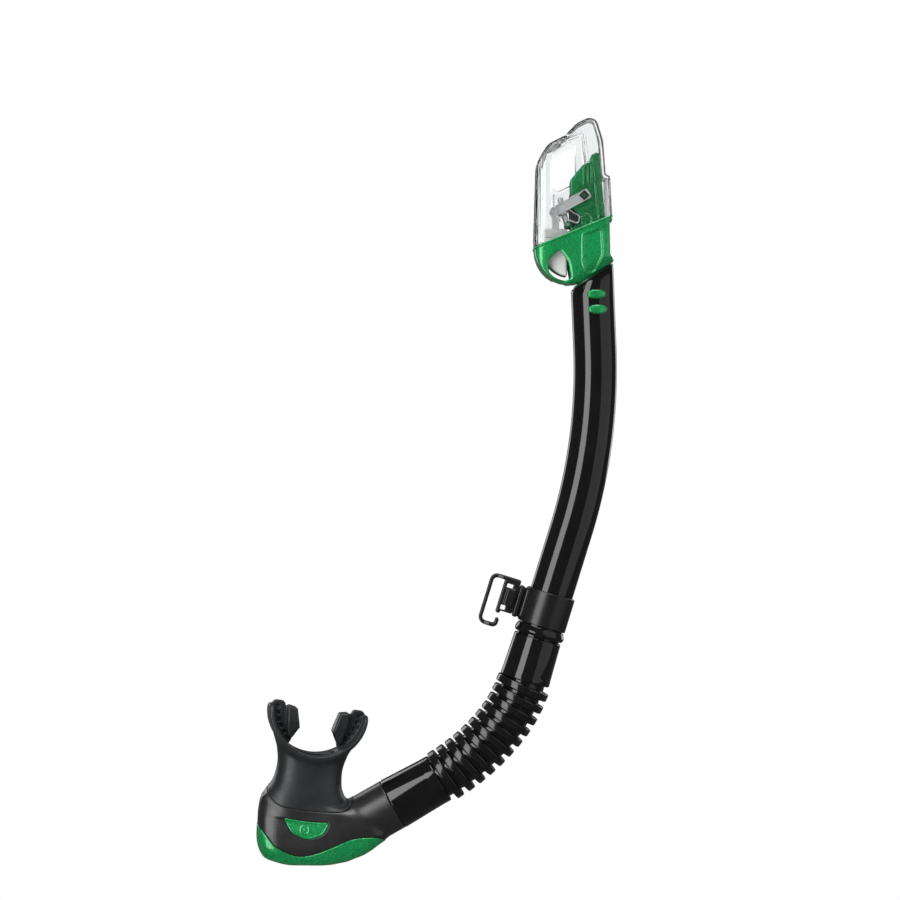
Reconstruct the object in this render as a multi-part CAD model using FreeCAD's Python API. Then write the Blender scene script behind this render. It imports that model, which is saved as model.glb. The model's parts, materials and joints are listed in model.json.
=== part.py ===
"""Dry-top snorkel, modelled as separate parts in millimetres.

Row frame: +Z up, +X from the mouthpiece side towards the barrel, +Y towards the wearer's face.
The origin is the centre of the strap slot in the keeper clip. The barrel, hose and chamber all
lie in the plane y = 0. Each part is written to parts/NODE.step.
"""

import FreeCAD
import Part

import math
import os

V = FreeCAD.Vector
Y_AXIS = V(0, 1, 0)

# ---- Barrel and its line ----------------------------------------------------------------
BARREL_LINE = 72.8          # angle of the lower barrel above +X, degrees
BARREL_TOP_LINE = 92.3      # angle of the upper barrel above +X, degrees
BARREL_BEND_R = 320.0       # radius of the bend between the two straights
BARREL_A = 12.75            # half width of the oval barrel in the plane of the snorkel
BARREL_B = 11.2             # half depth of the oval barrel
BARREL_WALL = 1.5
BARREL_LOWER_STRAIGHT = 66.0
BARREL_SOCKET = 18.0        # length of barrel held inside the upper cuff

# ---- Keeper and clip, in the barrel's own frame (r across, z along, from the cuff's top) --
KEEPER_BASE_Z = 7.0
KEEPER_HEIGHT = 20.4
KEEPER_WALL = 1.5
KEEPER_GAP = 0.12
BLOCK_FACE_R = -18.6        # face of the keeper's block, where the clip turns
SLOT_R, SLOT_Z = -31.7, 13.8
SLOT_HALF_WIDTH, SLOT_HALF_HEIGHT = 3.2, 13.2
CLIP_BAR = 2.2
CLIP_HALF_DEPTH = 4.2
SWIVEL_Z = 17.6
SWIVEL_PIN_R = 2.0

# ---- Cuffs and corrugated hose ------------------------------------------------------------
CUFF_R = 14.7
CUFF_SEAM_R = 15.6
UPPER_CUFF_LENGTH = 26.2
LOWER_CUFF_LENGTH = 31.2
PIPE_LINE = 29.5            # angle of the chamber's pipe above +X, degrees
BEND_SPLIT_LINE = 51.0
HOSE_BEND_UPPER_R = 81.5
HOSE_BEND_LOWER_R = 125.0
HOSE_BORE_R = 10.6
HOSE_ROOT_R = 12.3
HOSE_RING_R = 16.1
HOSE_RINGS = 11
HOSE_RING_WIDTH = 3.9
FIRST_RING_S = 4.3          # distance of the first ring from each cuff, along the hose
RING_LINE_FIRST, RING_LINE_LAST = 65.0, 35.5

# ---- Chamber, in the plane: distances from the swivel seam --------------------------------
PIPE_R = 15.4
SPIGOT_R = 12.6
SPIGOT_LENGTH = 12.0
CHAMBER_WALL = 2.2
CHAMBER_HALF_DEPTH = 20.0
MOUTH_LEAN = 8.5            # lean of the mouthpiece's axis from vertical, degrees
MOUTH_TURN = 9.5            # turn of the mouthpiece about its own axis, degrees
MOUTH_BASE = (-52.7, 3.3)   # centre of the mouthpiece's base, from the seam
VALVE_R = 12.5
VALVE_LIFT = 1.6

# ---- Dry top, in row coordinates of its own anchor ------------------------------------------
TOP_HALF_DEPTH = 16.5
TOP_WALL = 1.8
COVER_WALL = 1.8
GASKET_THICKNESS = 0.7
FLOOR_LINE = 33.4           # slope of the base's underside, degrees
RIM_LINE = 22.4             # slope of the joint between base and cover, degrees
PILLAR_HALF_DEPTH = 10.4
PILLAR_WALL = 1.8
LEVER_PIVOT = (51.0, 238.3)
FLOAT_PIN = (34.6, 229.2)
SHUTTER_HINGE = (41.6, 221.6)
SHUTTER_LEAN = 15.0
LEVER_TRAVEL = 40.0
SHUTTER_HEIGHT = 16.5
INLET_SEAL_THICKNESS = 0.5
PAD_THICKNESS = 0.42
TRUNNION_H = 7.0
ARM_INNER, ARM_OUTER = 10.8, 12.4


# ---- Small geometry helpers ------------------------------------------------------------------
def heading(angle):
    """Unit vector in the plane of the snorkel, at an angle above +X."""
    return V(math.cos(math.radians(angle)), 0, math.sin(math.radians(angle)))


def across(angle):
    """Unit vector in the plane, a quarter turn clockwise from heading(angle)."""
    return heading(angle - 90)


def stand(shape, origin, angle):
    """Moves a shape built along +Z so that +Z points along heading(angle) from origin."""
    turned = shape.copy()
    turned.Placement = FreeCAD.Placement(origin, FreeCAD.Rotation(Y_AXIS, 90 - angle))
    return turned


def rounded(corners, y=0.0):
    """Closed wire in the XZ plane through (x, z, radius) corners, each rounded to its radius."""
    count = len(corners)
    points = [V(x, y, z) for x, z, _ in corners]
    edges, starts, ends = [], [], []
    for i in range(count):
        corner, radius = points[i], corners[i][2]
        back = (points[i - 1] - corner).normalize()
        ahead = (points[(i + 1) % count] - corner).normalize()
        if radius <= 0:
            starts.append(corner)
            ends.append(corner)
            edges.append(None)
            continue
        half = back.getAngle(ahead) / 2
        reach = radius / math.tan(half)
        start, end = corner + back * reach, corner + ahead * reach
        middle_line = (back + ahead).normalize()
        middle = corner + middle_line * (radius / math.sin(half) - radius)
        starts.append(start)
        ends.append(end)
        edges.append(Part.Arc(start, middle, end).toShape())
    path = []
    for i in range(count):
        if edges[i] is not None:
            path.append(edges[i])
        following = starts[(i + 1) % count]
        if ends[i].distanceToPoint(following) > 1e-4:
            path.append(Part.makeLine(ends[i], following))
    return Part.Wire(path)


def slab(wire, half_depth, centre=0.0):
    """Solid of a wire's face, thick by half_depth each side of y = centre."""
    face = Part.Face(wire)
    face.translate(V(0, centre - half_depth, 0))
    return face.extrude(V(0, 2 * half_depth, 0))


def inset(wire, distance):
    """The wire moved inwards by distance."""
    area = Part.Face(wire).Area
    for step in (-distance, distance):
        moved = Part.Face(wire).makeOffset2D(step, join=2)
        if moved.Faces and moved.Faces[0].Area < area:
            return moved.Faces[0].OuterWire
    raise ValueError("outline too small to inset")


def bar(corners, shrink=0.0, half_length=200.0):
    """Bar along Y with a rounded outline, made smaller all over by shrink."""
    wire = rounded(corners)
    if shrink:
        wire = inset(wire, shrink)
    return slab(wire, half_length)


def three_views(front, plan, end, shrink=0.0):
    """Solid that fills three outlines: (x, z) from the front, (x, y) from above, (y, z) from the end."""
    body = bar(front, shrink)
    from_above = bar(plan, shrink, 400)
    from_above.rotate(V(0, 0, 0), V(1, 0, 0), 90)
    from_end = bar(end, shrink, 400)
    from_end.rotate(V(0, 0, 0), V(0, 0, 1), 90)
    return body.common(from_above).common(from_end)


def ring(outer, inner, z0, z1):
    """Round ring along +Z."""
    solid = Part.makeCylinder(outer, z1 - z0, V(0, 0, z0))
    return solid.cut(Part.makeCylinder(inner, z1 - z0 + 2, V(0, 0, z0 - 1)))


def turned_solid(profile):
    """Solid of revolution about +Z from (radius, z) points."""
    points = [V(r, 0, z) for r, z in profile]
    face = Part.Face(Part.makePolygon(points + points[:1]))
    return face.revolve(V(0, 0, 0), V(0, 0, 1), 360)


def oval_wire(a, b, z=0.0):
    """Oval across +Z with half sizes a along X and b along Y."""
    if a >= b:
        curve = Part.Ellipse(V(a, 0, z), V(0, b, z), V(0, 0, z))
    else:
        curve = Part.Ellipse(V(0, b, z), V(-a, 0, z), V(0, 0, z))
    return Part.Wire(curve.toShape())


def oval_column(a, b, z0, z1):
    """Straight oval column along +Z."""
    return Part.Face(oval_wire(a, b, z0)).extrude(V(0, 0, z1 - z0))


def pin(x, z, radius, y0, y1):
    """Round pin along Y at (x, z)."""
    return Part.makeCylinder(radius, y1 - y0, V(x, y0, z), Y_AXIS)


def largest(shape):
    """The biggest solid of a shape, without the slivers a cut may leave."""
    return sorted(shape.Solids, key=lambda solid: solid.Volume)[-1]


# ---- Anchor points along the snorkel's line ----------------------------------------------------
UP = heading(BARREL_LINE)
OUT = across(BARREL_LINE)
JOINT = (OUT * SLOT_R + UP * SLOT_Z) * -1        # centre of the upper cuff's top face
BEND_START = JOINT + UP * BARREL_LOWER_STRAIGHT
BEND_CENTRE = BEND_START - OUT * BARREL_BEND_R
BEND_TURN = BARREL_TOP_LINE - BARREL_LINE
BEND_END = BEND_CENTRE + across(BARREL_TOP_LINE) * BARREL_BEND_R
TOP_ORIGIN = BEND_END - V(57.85, 0, 149.8)       # anchor of the dry top's coordinates

CUFF_END = JOINT - UP * UPPER_CUFF_LENGTH
HOSE_CENTRE_UPPER = CUFF_END - OUT * HOSE_BEND_UPPER_R
HOSE_MIDDLE = HOSE_CENTRE_UPPER + across(BEND_SPLIT_LINE) * HOSE_BEND_UPPER_R
HOSE_CENTRE_LOWER = HOSE_MIDDLE - across(BEND_SPLIT_LINE) * HOSE_BEND_LOWER_R
HOSE_END = HOSE_CENTRE_LOWER + across(PIPE_LINE) * HOSE_BEND_LOWER_R
SEAM = HOSE_END - heading(PIPE_LINE) * LOWER_CUFF_LENGTH
MOUTH_ORIGIN = SEAM + V(MOUTH_BASE[0], 0, MOUTH_BASE[1])


def top_point(x, z, y=0.0):
    """A point of the dry top, from its own coordinates to the row frame."""
    return TOP_ORIGIN + V(x, y, z)


def in_place(shape):
    """Moves a shape from the dry top's coordinates to the row frame."""
    moved = shape.copy()
    moved.translate(TOP_ORIGIN)
    return moved


# ---- Barrel ------------------------------------------------------------------------------------
def barrel_shell(a, b, below, above):
    """Oval bar along the barrel's line: lower straight, bend and upper straight."""
    lower = stand(oval_column(a, b, -below, BARREL_LOWER_STRAIGHT), JOINT, BARREL_LINE)
    section = stand(Part.Face(oval_wire(a, b)), BEND_START, BARREL_LINE)
    bend = section.revolve(BEND_CENTRE, V(0, -1, 0), BEND_TURN)
    upper = stand(oval_column(a, b, 0, above), BEND_END, BARREL_TOP_LINE)
    return lower.fuse(bend).fuse(upper)


INLAYS = ((59.0, 181.2), (59.4, 172.4))
INLAY_A, INLAY_B, INLAY_DEPTH, INLAY_PROUD = 5.5, 2.75, 0.7, 0.35


def inlay_columns():
    """Oval columns that mark where the two inlays sit on the -Y side of the barrel."""
    columns = []
    for x, z in INLAYS:
        column = oval_column(INLAY_A, INLAY_B, 0, BARREL_B + 4)
        column.rotate(V(0, 0, 0), V(1, 0, 0), 90)
        column.translate(top_point(x, z))
        columns.append(column)
    return columns


def top_cut():
    """Everything above the gasket's lower face, which is where the barrel ends."""
    foot = top_point(22.6, 169.3) - heading(90 + FLOOR_LINE) * GASKET_THICKNESS
    box = Part.makeBox(120, 80, 120, V(-30, -40, 0))
    return stand(box, foot, 90 + FLOOR_LINE)


def barrel():
    solid = barrel_shell(BARREL_A, BARREL_B, BARREL_SOCKET, 60)
    bore = barrel_shell(BARREL_A - BARREL_WALL, BARREL_B - BARREL_WALL, BARREL_SOCKET + 5, 65)
    pocket_floor = barrel_shell(BARREL_A - INLAY_DEPTH, BARREL_B - INLAY_DEPTH, 5, 60)
    solid = solid.cut(bore).cut(top_cut())
    for column in inlay_columns():
        solid = solid.cut(column.cut(pocket_floor))
    return solid


def barrel_inlays():
    proud = barrel_shell(BARREL_A + INLAY_PROUD, BARREL_B + INLAY_PROUD, 5, 50)
    pocket_floor = barrel_shell(BARREL_A - INLAY_DEPTH, BARREL_B - INLAY_DEPTH, 6, 60)
    return [column.common(proud).cut(pocket_floor) for column in inlay_columns()]


def barrel_collar():
    """Stop ring on the barrel, just above the cuff, with a ridge round its middle."""
    base, ridge, top = 1.0, 3.0, 6.4
    body = turned_solid([
        (0, base), (14.2, base), (14.9, ridge - 0.5), (14.9, ridge + 0.4), (13.7, top), (0, top),
    ])
    body = body.cut(oval_column(BARREL_A, BARREL_B, base - 1, top + 1))
    return stand(body, JOINT, BARREL_LINE)


# ---- Keeper and clip ------------------------------------------------------------------------------
def keeper():
    """Oval band that slides on the barrel, with the block that carries the clip."""
    z0, z1 = KEEPER_BASE_Z, KEEPER_BASE_Z + KEEPER_HEIGHT
    inner_a, inner_b = BARREL_A + KEEPER_GAP, BARREL_B + KEEPER_GAP
    band = oval_column(inner_a + KEEPER_WALL, inner_b + KEEPER_WALL + 0.3, z0, z1)
    rims = [edge for edge in band.Edges if edge.Length > 20 and edge.BoundBox.ZLength < 0.01]
    band = band.makeFillet(0.6, rims)
    block_length = -BLOCK_FACE_R - 9
    block = Part.makeBox(block_length, 13, KEEPER_HEIGHT - 2, V(BLOCK_FACE_R, -6.5, z0 + 1))
    near_face = BLOCK_FACE_R + 0.1
    upright = [edge for edge in block.Edges if edge.Length > 12 and edge.BoundBox.Center.x < near_face]
    block = block.makeFillet(1.6, upright)
    for z in (z0 + 4.4, z1 - 4.4):
        groove = Part.makeBox(1.0, 20, 1.2, V(BLOCK_FACE_R + 2.4, -10, z - 0.6))
        block = block.cut(groove)
    body = band.fuse(block).removeSplitter()
    body = body.cut(oval_column(inner_a, inner_b, z0 - 1, z1 + 1))
    socket = Part.makeCylinder(SWIVEL_PIN_R + 0.05, 3.2, V(BLOCK_FACE_R - 0.1, 0, SWIVEL_Z), V(1, 0, 0))
    body = body.cut(socket)
    return stand(body, JOINT, BARREL_LINE)


def clip_outline():
    """The clip's bar as an open J round the strap slot, and the plate it grows from."""
    left = SLOT_R - SLOT_HALF_WIDTH
    right = SLOT_R + SLOT_HALF_WIDTH
    top = SLOT_Z + SLOT_HALF_HEIGHT
    bottom = SLOT_Z - SLOT_HALF_HEIGHT
    face = BLOCK_FACE_R - 0.35
    t = CLIP_BAR
    return [
        (face, top + t, 1.0), (left - t, top + t, 4.4), (left - t, bottom - t, 4.6),
        (right + 3.4, bottom - t, 3.2), (right + 3.4, bottom + 3.6, 0.9), (right + 1.2, bottom + 3.6, 0.9),
        (right + 1.2, bottom, 1.2), (left, bottom, 2.4), (left, top, 2.4),
        (right, top, 0.6), (right, bottom + 6.6, 0.9), (right + 2.6, bottom + 6.6, 0.8),
        (right + 2.6, bottom + 8.2, 0.5), (face, bottom + 8.2, 1.0),
    ]


def strap_clip():
    body = slab(rounded(clip_outline()), CLIP_HALF_DEPTH)
    right = SLOT_R + SLOT_HALF_WIDTH
    for reach, low, high in ((5.2, 9.4, 12.6), (6.2, 22.6, 25.4)):
        near, far = right + 1.8, right + reach
        window = rounded([(near, low, 0.4), (far, low, 0.4), (far, high, 0.4), (near, high, 0.4)])
        body = body.cut(slab(window, 20))
    face = BLOCK_FACE_R - 0.35
    hole = Part.makeCylinder(SWIVEL_PIN_R + 0.05, 8, V(face - 7, 0, SWIVEL_Z), V(1, 0, 0))
    recess = Part.makeCylinder(3.3, 3.55, V(right - 0.5, 0, SWIVEL_Z), V(1, 0, 0))
    return stand(body.cut(hole).cut(recess), JOINT, BARREL_LINE)


def swivel_pin():
    """Headed pin that joins the clip to the keeper's block and lets it turn."""
    right = SLOT_R + SLOT_HALF_WIDTH
    start = right + 3.0
    length = BLOCK_FACE_R + 3.0 - start
    shaft = Part.makeCylinder(SWIVEL_PIN_R, length, V(start, 0, SWIVEL_Z), V(1, 0, 0))
    head = Part.makeCylinder(3.0, 1.6, V(right + 1.4, 0, SWIVEL_Z), V(1, 0, 0))
    return stand(shaft.fuse(head).removeSplitter(), JOINT, BARREL_LINE)


# ---- Hose -------------------------------------------------------------------------------------------
def upper_cuff():
    length = UPPER_CUFF_LENGTH
    body = turned_solid([
        (0, 0), (CUFF_R - 0.7, 0), (CUFF_R - 0.2, -0.6), (CUFF_R, -length + 5),
        (CUFF_R + 0.3, -length + 0.6), (CUFF_R - 0.2, -length), (0, -length),
    ])
    body = body.cut(oval_column(BARREL_A, BARREL_B, -BARREL_SOCKET, 1))
    body = body.cut(Part.makeCylinder(HOSE_BORE_R - 1.2, length + 2, V(0, 0, -length - 1)))
    return stand(body, JOINT, BARREL_LINE)


def lower_cuff():
    """Cuff from the seam (z = 0) up to the hose, with the swivel's bore at the seam end."""
    length = LOWER_CUFF_LENGTH
    body = turned_solid([
        (0, 0), (CUFF_SEAM_R - 0.4, 0), (CUFF_SEAM_R, 0.5), (CUFF_R + 0.1, length - 6),
        (CUFF_R + 0.1, length - 0.7), (CUFF_R - 0.6, length), (0, length),
    ])
    body = body.cut(Part.makeCylinder(SPIGOT_R + 0.08, SPIGOT_LENGTH + 1.3, V(0, 0, -1)))
    body = body.cut(Part.makeCylinder(HOSE_BORE_R - 0.6, length + 2, V(0, 0, -1)))
    return stand(body, SEAM, PIPE_LINE)


def hose_station(s):
    """Centre point of the hose at a distance s from the upper cuff."""
    upper_length = HOSE_BEND_UPPER_R * math.radians(BARREL_LINE - BEND_SPLIT_LINE)
    if s <= upper_length:
        line = BARREL_LINE - math.degrees(s / HOSE_BEND_UPPER_R)
        return HOSE_CENTRE_UPPER + across(line) * HOSE_BEND_UPPER_R
    line = BEND_SPLIT_LINE - math.degrees((s - upper_length) / HOSE_BEND_LOWER_R)
    return HOSE_CENTRE_LOWER + across(line) * HOSE_BEND_LOWER_R


def hose_length():
    upper = HOSE_BEND_UPPER_R * math.radians(BARREL_LINE - BEND_SPLIT_LINE)
    lower = HOSE_BEND_LOWER_R * math.radians(BEND_SPLIT_LINE - PIPE_LINE)
    return upper + lower


def hose_core(radius):
    """Round bar along the hose's two arcs."""
    start = stand(Part.Face(Part.Wire(Part.makeCircle(radius))), CUFF_END, BARREL_LINE)
    upper = start.revolve(HOSE_CENTRE_UPPER, Y_AXIS, BARREL_LINE - BEND_SPLIT_LINE)
    middle = stand(Part.Face(Part.Wire(Part.makeCircle(radius))), HOSE_MIDDLE, BEND_SPLIT_LINE)
    lower = middle.revolve(HOSE_CENTRE_LOWER, Y_AXIS, BEND_SPLIT_LINE - PIPE_LINE)
    return upper.fuse(lower)


def corrugated_hose():
    body = hose_core(HOSE_ROOT_R)
    half = HOSE_RING_WIDTH / 2
    pitch = (hose_length() - 2 * FIRST_RING_S) / (HOSE_RINGS - 1)
    for i in range(HOSE_RINGS):
        share = i / (HOSE_RINGS - 1)
        line = RING_LINE_FIRST + (RING_LINE_LAST - RING_LINE_FIRST) * share
        disc = turned_solid([
            (0, -half), (HOSE_RING_R - 0.8, -half), (HOSE_RING_R, -half + 0.9),
            (HOSE_RING_R, half - 0.9), (HOSE_RING_R - 0.8, half), (0, half),
        ])
        body = body.fuse(stand(disc, hose_station(FIRST_RING_S + pitch * i), line))
    return body.cut(hose_core(HOSE_BORE_R))


# ---- Chamber ------------------------------------------------------------------------------------------
def seam_point(x, z):
    return SEAM.x + x, SEAM.z + z


CHAMBER_OUTLINE = (
    (-10.0, 11.5, 0), (4.8, -14.5, 0), (-13.2, -26.9, 40), (-37.0, -37.2, 30), (-62.0, -36.9, 22),
    (-82.6, -27.0, 16), (-80.4, -3.0, 40), (-76.9, 9.6, 1.5), (-30.0, 5.2, 5),
)
CHAMBER_PLAN = (
    (-82.6, 20.0, 15), (-36.0, 20.0, 50), (6.0, 14.6, 0),
    (6.0, -14.6, 0), (-36.0, -20.0, 50), (-82.6, -20.0, 15),
)
CHAMBER_END = (
    (-20.6, -37.4, 15), (-20.6, 5.0, 14), (-13.0, 11.8, 3),
    (13.0, 11.8, 3), (20.6, 5.0, 14), (20.6, -37.4, 15),
)
TRIM_LINE = (
    (-83.0, -7.5), (-75.4, -20.4), (-66.6, -29.6), (-53.9, -31.6),
    (-42.0, -28.8), (-29.4, -22.2), (-16.6, -19.0), (-8.5, -20.2), (-3.0, -24.0),
)


def chamber_outer(shrink=0.0):
    """The chamber's outer form, or the same form made smaller all over by shrink."""
    front = [(x + SEAM.x, z + SEAM.z, radius) for x, z, radius in CHAMBER_OUTLINE]
    plan = [(x + SEAM.x, y, radius) for x, y, radius in CHAMBER_PLAN]
    end = [(y, z + SEAM.z, radius) for y, z, radius in CHAMBER_END]
    body = three_views(front, plan, end, shrink)
    end_wall = 3.0 if shrink else 0.0
    pipe = Part.makeCylinder(PIPE_R - shrink, 24 - end_wall, V(0, 0, -24))
    return body.fuse(stand(pipe, SEAM, PIPE_LINE)).removeSplitter()


def below_trim():
    """Region below the line where the purge cover meets the chamber."""
    curve = Part.BSplineCurve()
    curve.interpolate([V(SEAM.x + x, 0, SEAM.z + z) for x, z in TRIM_LINE])
    first, last = curve.value(curve.FirstParameter), curve.value(curve.LastParameter)
    floor = SEAM.z - 60
    closing = Part.makePolygon([last, V(last.x, 0, floor), V(first.x, 0, floor), first])
    return slab(Part.Wire([curve.toShape()] + closing.Edges), 30)


def on_mouth(shape):
    """Moves a shape built along the mouthpiece's axis to its place on the chamber."""
    turn = FreeCAD.Rotation(V(0, 0, 1), MOUTH_TURN)
    lean = FreeCAD.Rotation(Y_AXIS, MOUTH_LEAN)
    turned = shape.copy()
    turned.Placement = FreeCAD.Placement(MOUTH_ORIGIN, lean.multiply(turn))
    return turned


def mouth_neck(extra=0.0, from_m=-8.0, to_m=8.0):
    """Oval column along the mouthpiece's axis, inside the chamber's mouth."""
    return on_mouth(oval_column(17.6 + extra, 9.6 + extra, from_m, to_m))


SEAT_Z = -29.2
SEAT_X = -53.0
SEAT_THICKNESS = 1.8


def chamber():
    """Chamber shell with its pipe, the swivel's spigot and the collar for the mouthpiece."""
    body = chamber_outer().cut(below_trim())
    collar = mouth_neck(0.0, -6, 13).cut(mouth_neck(-1.6, -20, 20))
    spigot = stand(Part.makeCylinder(SPIGOT_R, SPIGOT_LENGTH, V(0, 0, 0)), SEAM, PIPE_LINE)
    groove = stand(ring(SPIGOT_R + 1, SPIGOT_R - 0.9, 7.0, 8.8), SEAM, PIPE_LINE)
    bore = stand(Part.makeCylinder(SPIGOT_R - 2.2, 60, V(0, 0, -44)), SEAM, PIPE_LINE)
    body = body.cut(chamber_outer(CHAMBER_WALL)).cut(mouth_neck(-1.6, -20, 20))
    body = body.fuse(collar).fuse(spigot.cut(groove)).cut(bore)
    body = body.cut(badge_form(0.0))
    return largest(body).removeSplitter()


def swivel_o_ring():
    body = Part.makeTorus(SPIGOT_R - 0.42, 0.45, V(0, 0, 7.9))
    return stand(body, SEAM, PIPE_LINE)


BADGE = ((-59.0, -2.0, 1.2), (-33.0, -4.6, 1.6), (-38.0, -12.5, 9), (-50.0, -16.4, 8), (-56.5, -10.0, 8))
BADGE_DEPTH = 1.0


def badge_form(proud):
    """The badge's body in the chamber's -Y side."""
    outline = rounded([(*seam_point(x, z), radius) for x, z, radius in BADGE])
    return slab(outline, (BADGE_DEPTH + proud) / 2, -CHAMBER_HALF_DEPTH + (BADGE_DEPTH - proud) / 2)


def chamber_badge():
    return badge_form(0.4)


def purge_cover():
    """Lower cover under the purge valve, with exhaust slots in its far side."""
    body = chamber_outer().common(below_trim()).cut(chamber_outer(1.8))
    body = body.cut(stand(Part.makeCylinder(SPIGOT_R - 2.2, 60, V(0, 0, -44)), SEAM, PIPE_LINE))
    for i in range(4):
        x = SEAM.x - 66.0 + 9.0 * i
        slot = Part.makeBox(3.4, 12, 40, V(x, 6.0, SEAM.z - 60))
        body = body.cut(slot)
    return largest(body)


def purge_seat():
    """Plate across the chamber's floor with the valve's port, spokes and hub."""
    centre = V(SEAM.x + SEAT_X, 0, SEAM.z + SEAT_Z)
    plate = Part.makeBox(70, 60, SEAT_THICKNESS, V(centre.x - 35, -30, centre.z))
    plate = plate.common(chamber_outer(CHAMBER_WALL))
    port = Part.makeCylinder(VALVE_R - 2.5, 20, centre - V(0, 0, 10))
    spokes = Part.makeBox(2 * VALVE_R, 1.6, SEAT_THICKNESS, centre - V(VALVE_R, 0.8, 0))
    cross = spokes.copy()
    cross.rotate(centre, V(0, 0, 1), 90)
    hub = Part.makeCylinder(3.0, SEAT_THICKNESS, centre)
    body = plate.cut(port).fuse(spokes).fuse(cross).fuse(hub)
    body = body.cut(Part.makeCylinder(1.35, 10, centre - V(0, 0, 5)))
    return body.removeSplitter()


def purge_valve():
    """Soft mushroom valve below the seat: a thin disc, a stem and a retaining bead."""
    centre = V(SEAM.x + SEAT_X, 0, SEAM.z + SEAT_Z)
    body = turned_solid([
        (0, 4.6), (0.9, 4.6), (1.9, 3.9), (1.9, SEAT_THICKNESS + 1.7), (1.25, SEAT_THICKNESS + 1.6),
        (1.25, -0.05), (VALVE_R, -0.05), (VALVE_R, -0.6), (2.5, -1.3), (0, -1.3),
    ])
    body.translate(centre)
    return body


# ---- Mouthpiece -----------------------------------------------------------------------------------------
ARCH_R = 29.0               # inner radius of the flange, seen along the wearer's height
ARCH_M = 56.5               # distance of the arch's centre along the mouthpiece's axis
FLANGE_THICKNESS = 2.0
FLANGE_HALF_HEIGHT = 13.0
NECK_SECTIONS = (
    (20.6, 13.2, 1.5), (20.6, 12.6, 8.0), (19.4, 11.2, 17.5), (21.0, 11.2, 26.0), (24.0, 11.6, 34.0),
)
BORE_SECTIONS = ((17.6, 9.6, -2.0), (17.6, 9.6, 13.05), (14.0, 7.0, 16.0), (13.5, 6.0, 40.0))
PAD = ((12.0, 37.0, 1.0), (15.0, 57.2, 1.0), (31.0, 57.2, 1.0), (31.0, 44.0, 4.0), (24.0, 32.0, 4.0))
LUG = ((10.2, 42.6, 1.4), (12.8, 58.0, 1.4), (18.8, 58.0, 1.4), (16.4, 38.4, 1.4))


def arch_column(radius, half_height):
    """Round column through the arch's centre, across the mouthpiece."""
    return Part.makeCylinder(radius, 2 * half_height, V(0, -half_height, ARCH_M), Y_AXIS)


def mouthpiece():
    """Sleeve, waist, flange, and two bite pads with their lugs, moulded in one."""
    neck = Part.makeLoft([oval_wire(a, b, z) for a, b, z in NECK_SECTIONS], True, False)
    neck = neck.cut(arch_column(ARCH_R + 0.8, 30))
    flange = arch_column(ARCH_R + FLANGE_THICKNESS, 20).cut(arch_column(ARCH_R, 30))
    flange = flange.common(oval_column(31.0, FLANGE_HALF_HEIGHT, 0, ARCH_M - 1))
    body = neck.fuse(flange)
    for side in (1, -1):
        pad = slab(rounded([(side * u, m, radius) for u, m, radius in PAD]), 2.0)
        lug = slab(rounded([(side * u, m, radius) for u, m, radius in LUG]), 6.2)
        body = body.fuse(pad.common(arch_column(ARCH_R + 0.5, 30))).fuse(lug)
    bore = Part.makeLoft([oval_wire(a, b, z) for a, b, z in BORE_SECTIONS], True, True)
    body = largest(body.cut(bore)).removeSplitter()
    return largest(on_mouth(body).cut(chamber_outer()))


# ---- Dry top --------------------------------------------------------------------------------------------
TOP_OUTLINE = (
    (22.6, 169.3, 20.8), (69.2, 200.0, 0.8), (66.4, 203.8, 2.0), (66.0, 222.6, 0.6), (67.6, 223.6, 0.6),
    (66.2, 249.4, 1.0), (64.0, 250.4, 0.8), (62.8, 272.0, 14), (58.4, 287.0, 3.4), (31.0, 269.8, 16),
    (21.2, 258.0, 22),
)
TOP_PLAN = ((19.0, -16.5, 11), (70.0, -16.5, 9), (70.0, 16.5, 9), (19.0, 16.5, 11))
TOP_END = (
    (-16.9, 160.0, 0), (-16.9, 262.0, 26), (-9.0, 286.5, 7),
    (9.0, 286.5, 7), (16.9, 262.0, 26), (16.9, 160.0, 0),
)
TOP_FLOOR = ((-16.9, 0.0, 9), (-16.9, 150.0, 0), (16.9, 150.0, 0), (16.9, 0.0, 9))
PILLAR_OUTLINE = (
    (43.3, 190.0, 0), (43.3, 248.0, 1.5), (50.3, 256.3, 1.5), (54.6, 258.4, 1.0),
    (55.4, 262.0, 1.0), (58.8, 264.6, 1.2), (60.2, 262.0, 1.0), (61.4, 249.0, 2.0), (64.0, 226.0, 1.0),
    (64.0, 196.0, 0),
)
COVER_OPENING = ((32.6, 238.4, 3.0), (32.6, 262.6, 5.0), (45.6, 270.2, 2.5), (45.6, 245.4, 3.0))
FLOAT_WINDOW = (
    (36.4, 206.6, 1.5), (29.2, 199.2, 5.0), (30.8, 192.6, 6.0),
    (37.6, 187.4, 2.5), (43.2, 189.8, 1.5), (41.6, 199.6, 9.0),
)
GRIP_RECESS = (
    (50.6, 217.6, 1.4), (61.2, 219.6, 1.4), (61.0, 203.0, 5.0), (54.2, 193.8, 2.0), (50.6, 197.6, 2.6),
)


def top_envelope(shrink=0.0):
    """The dry top's whole outer form, base and cover together, or a smaller one inside it."""
    body = three_views(TOP_OUTLINE, TOP_PLAN, TOP_END, shrink)
    under = bar(TOP_FLOOR, shrink, 400)
    under.rotate(V(0, 0, 0), V(0, 0, 1), 90)
    under.rotate(V(0, 0, 0), Y_AXIS, -FLOOR_LINE)
    under.translate(V(22.6, 0, 169.3))
    return body.common(under)


def rim_side(above):
    """Half space above or below the joint between base and cover, in dry-top coordinates."""
    start = V(22.6, 0, 208.6) - heading(RIM_LINE) * 40
    box = Part.makeBox(150, 80, 140, V(-15, -40, 0 if above else -140))
    box.rotate(V(0, 0, 0), Y_AXIS, -RIM_LINE)
    box.translate(start)
    return box


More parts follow.
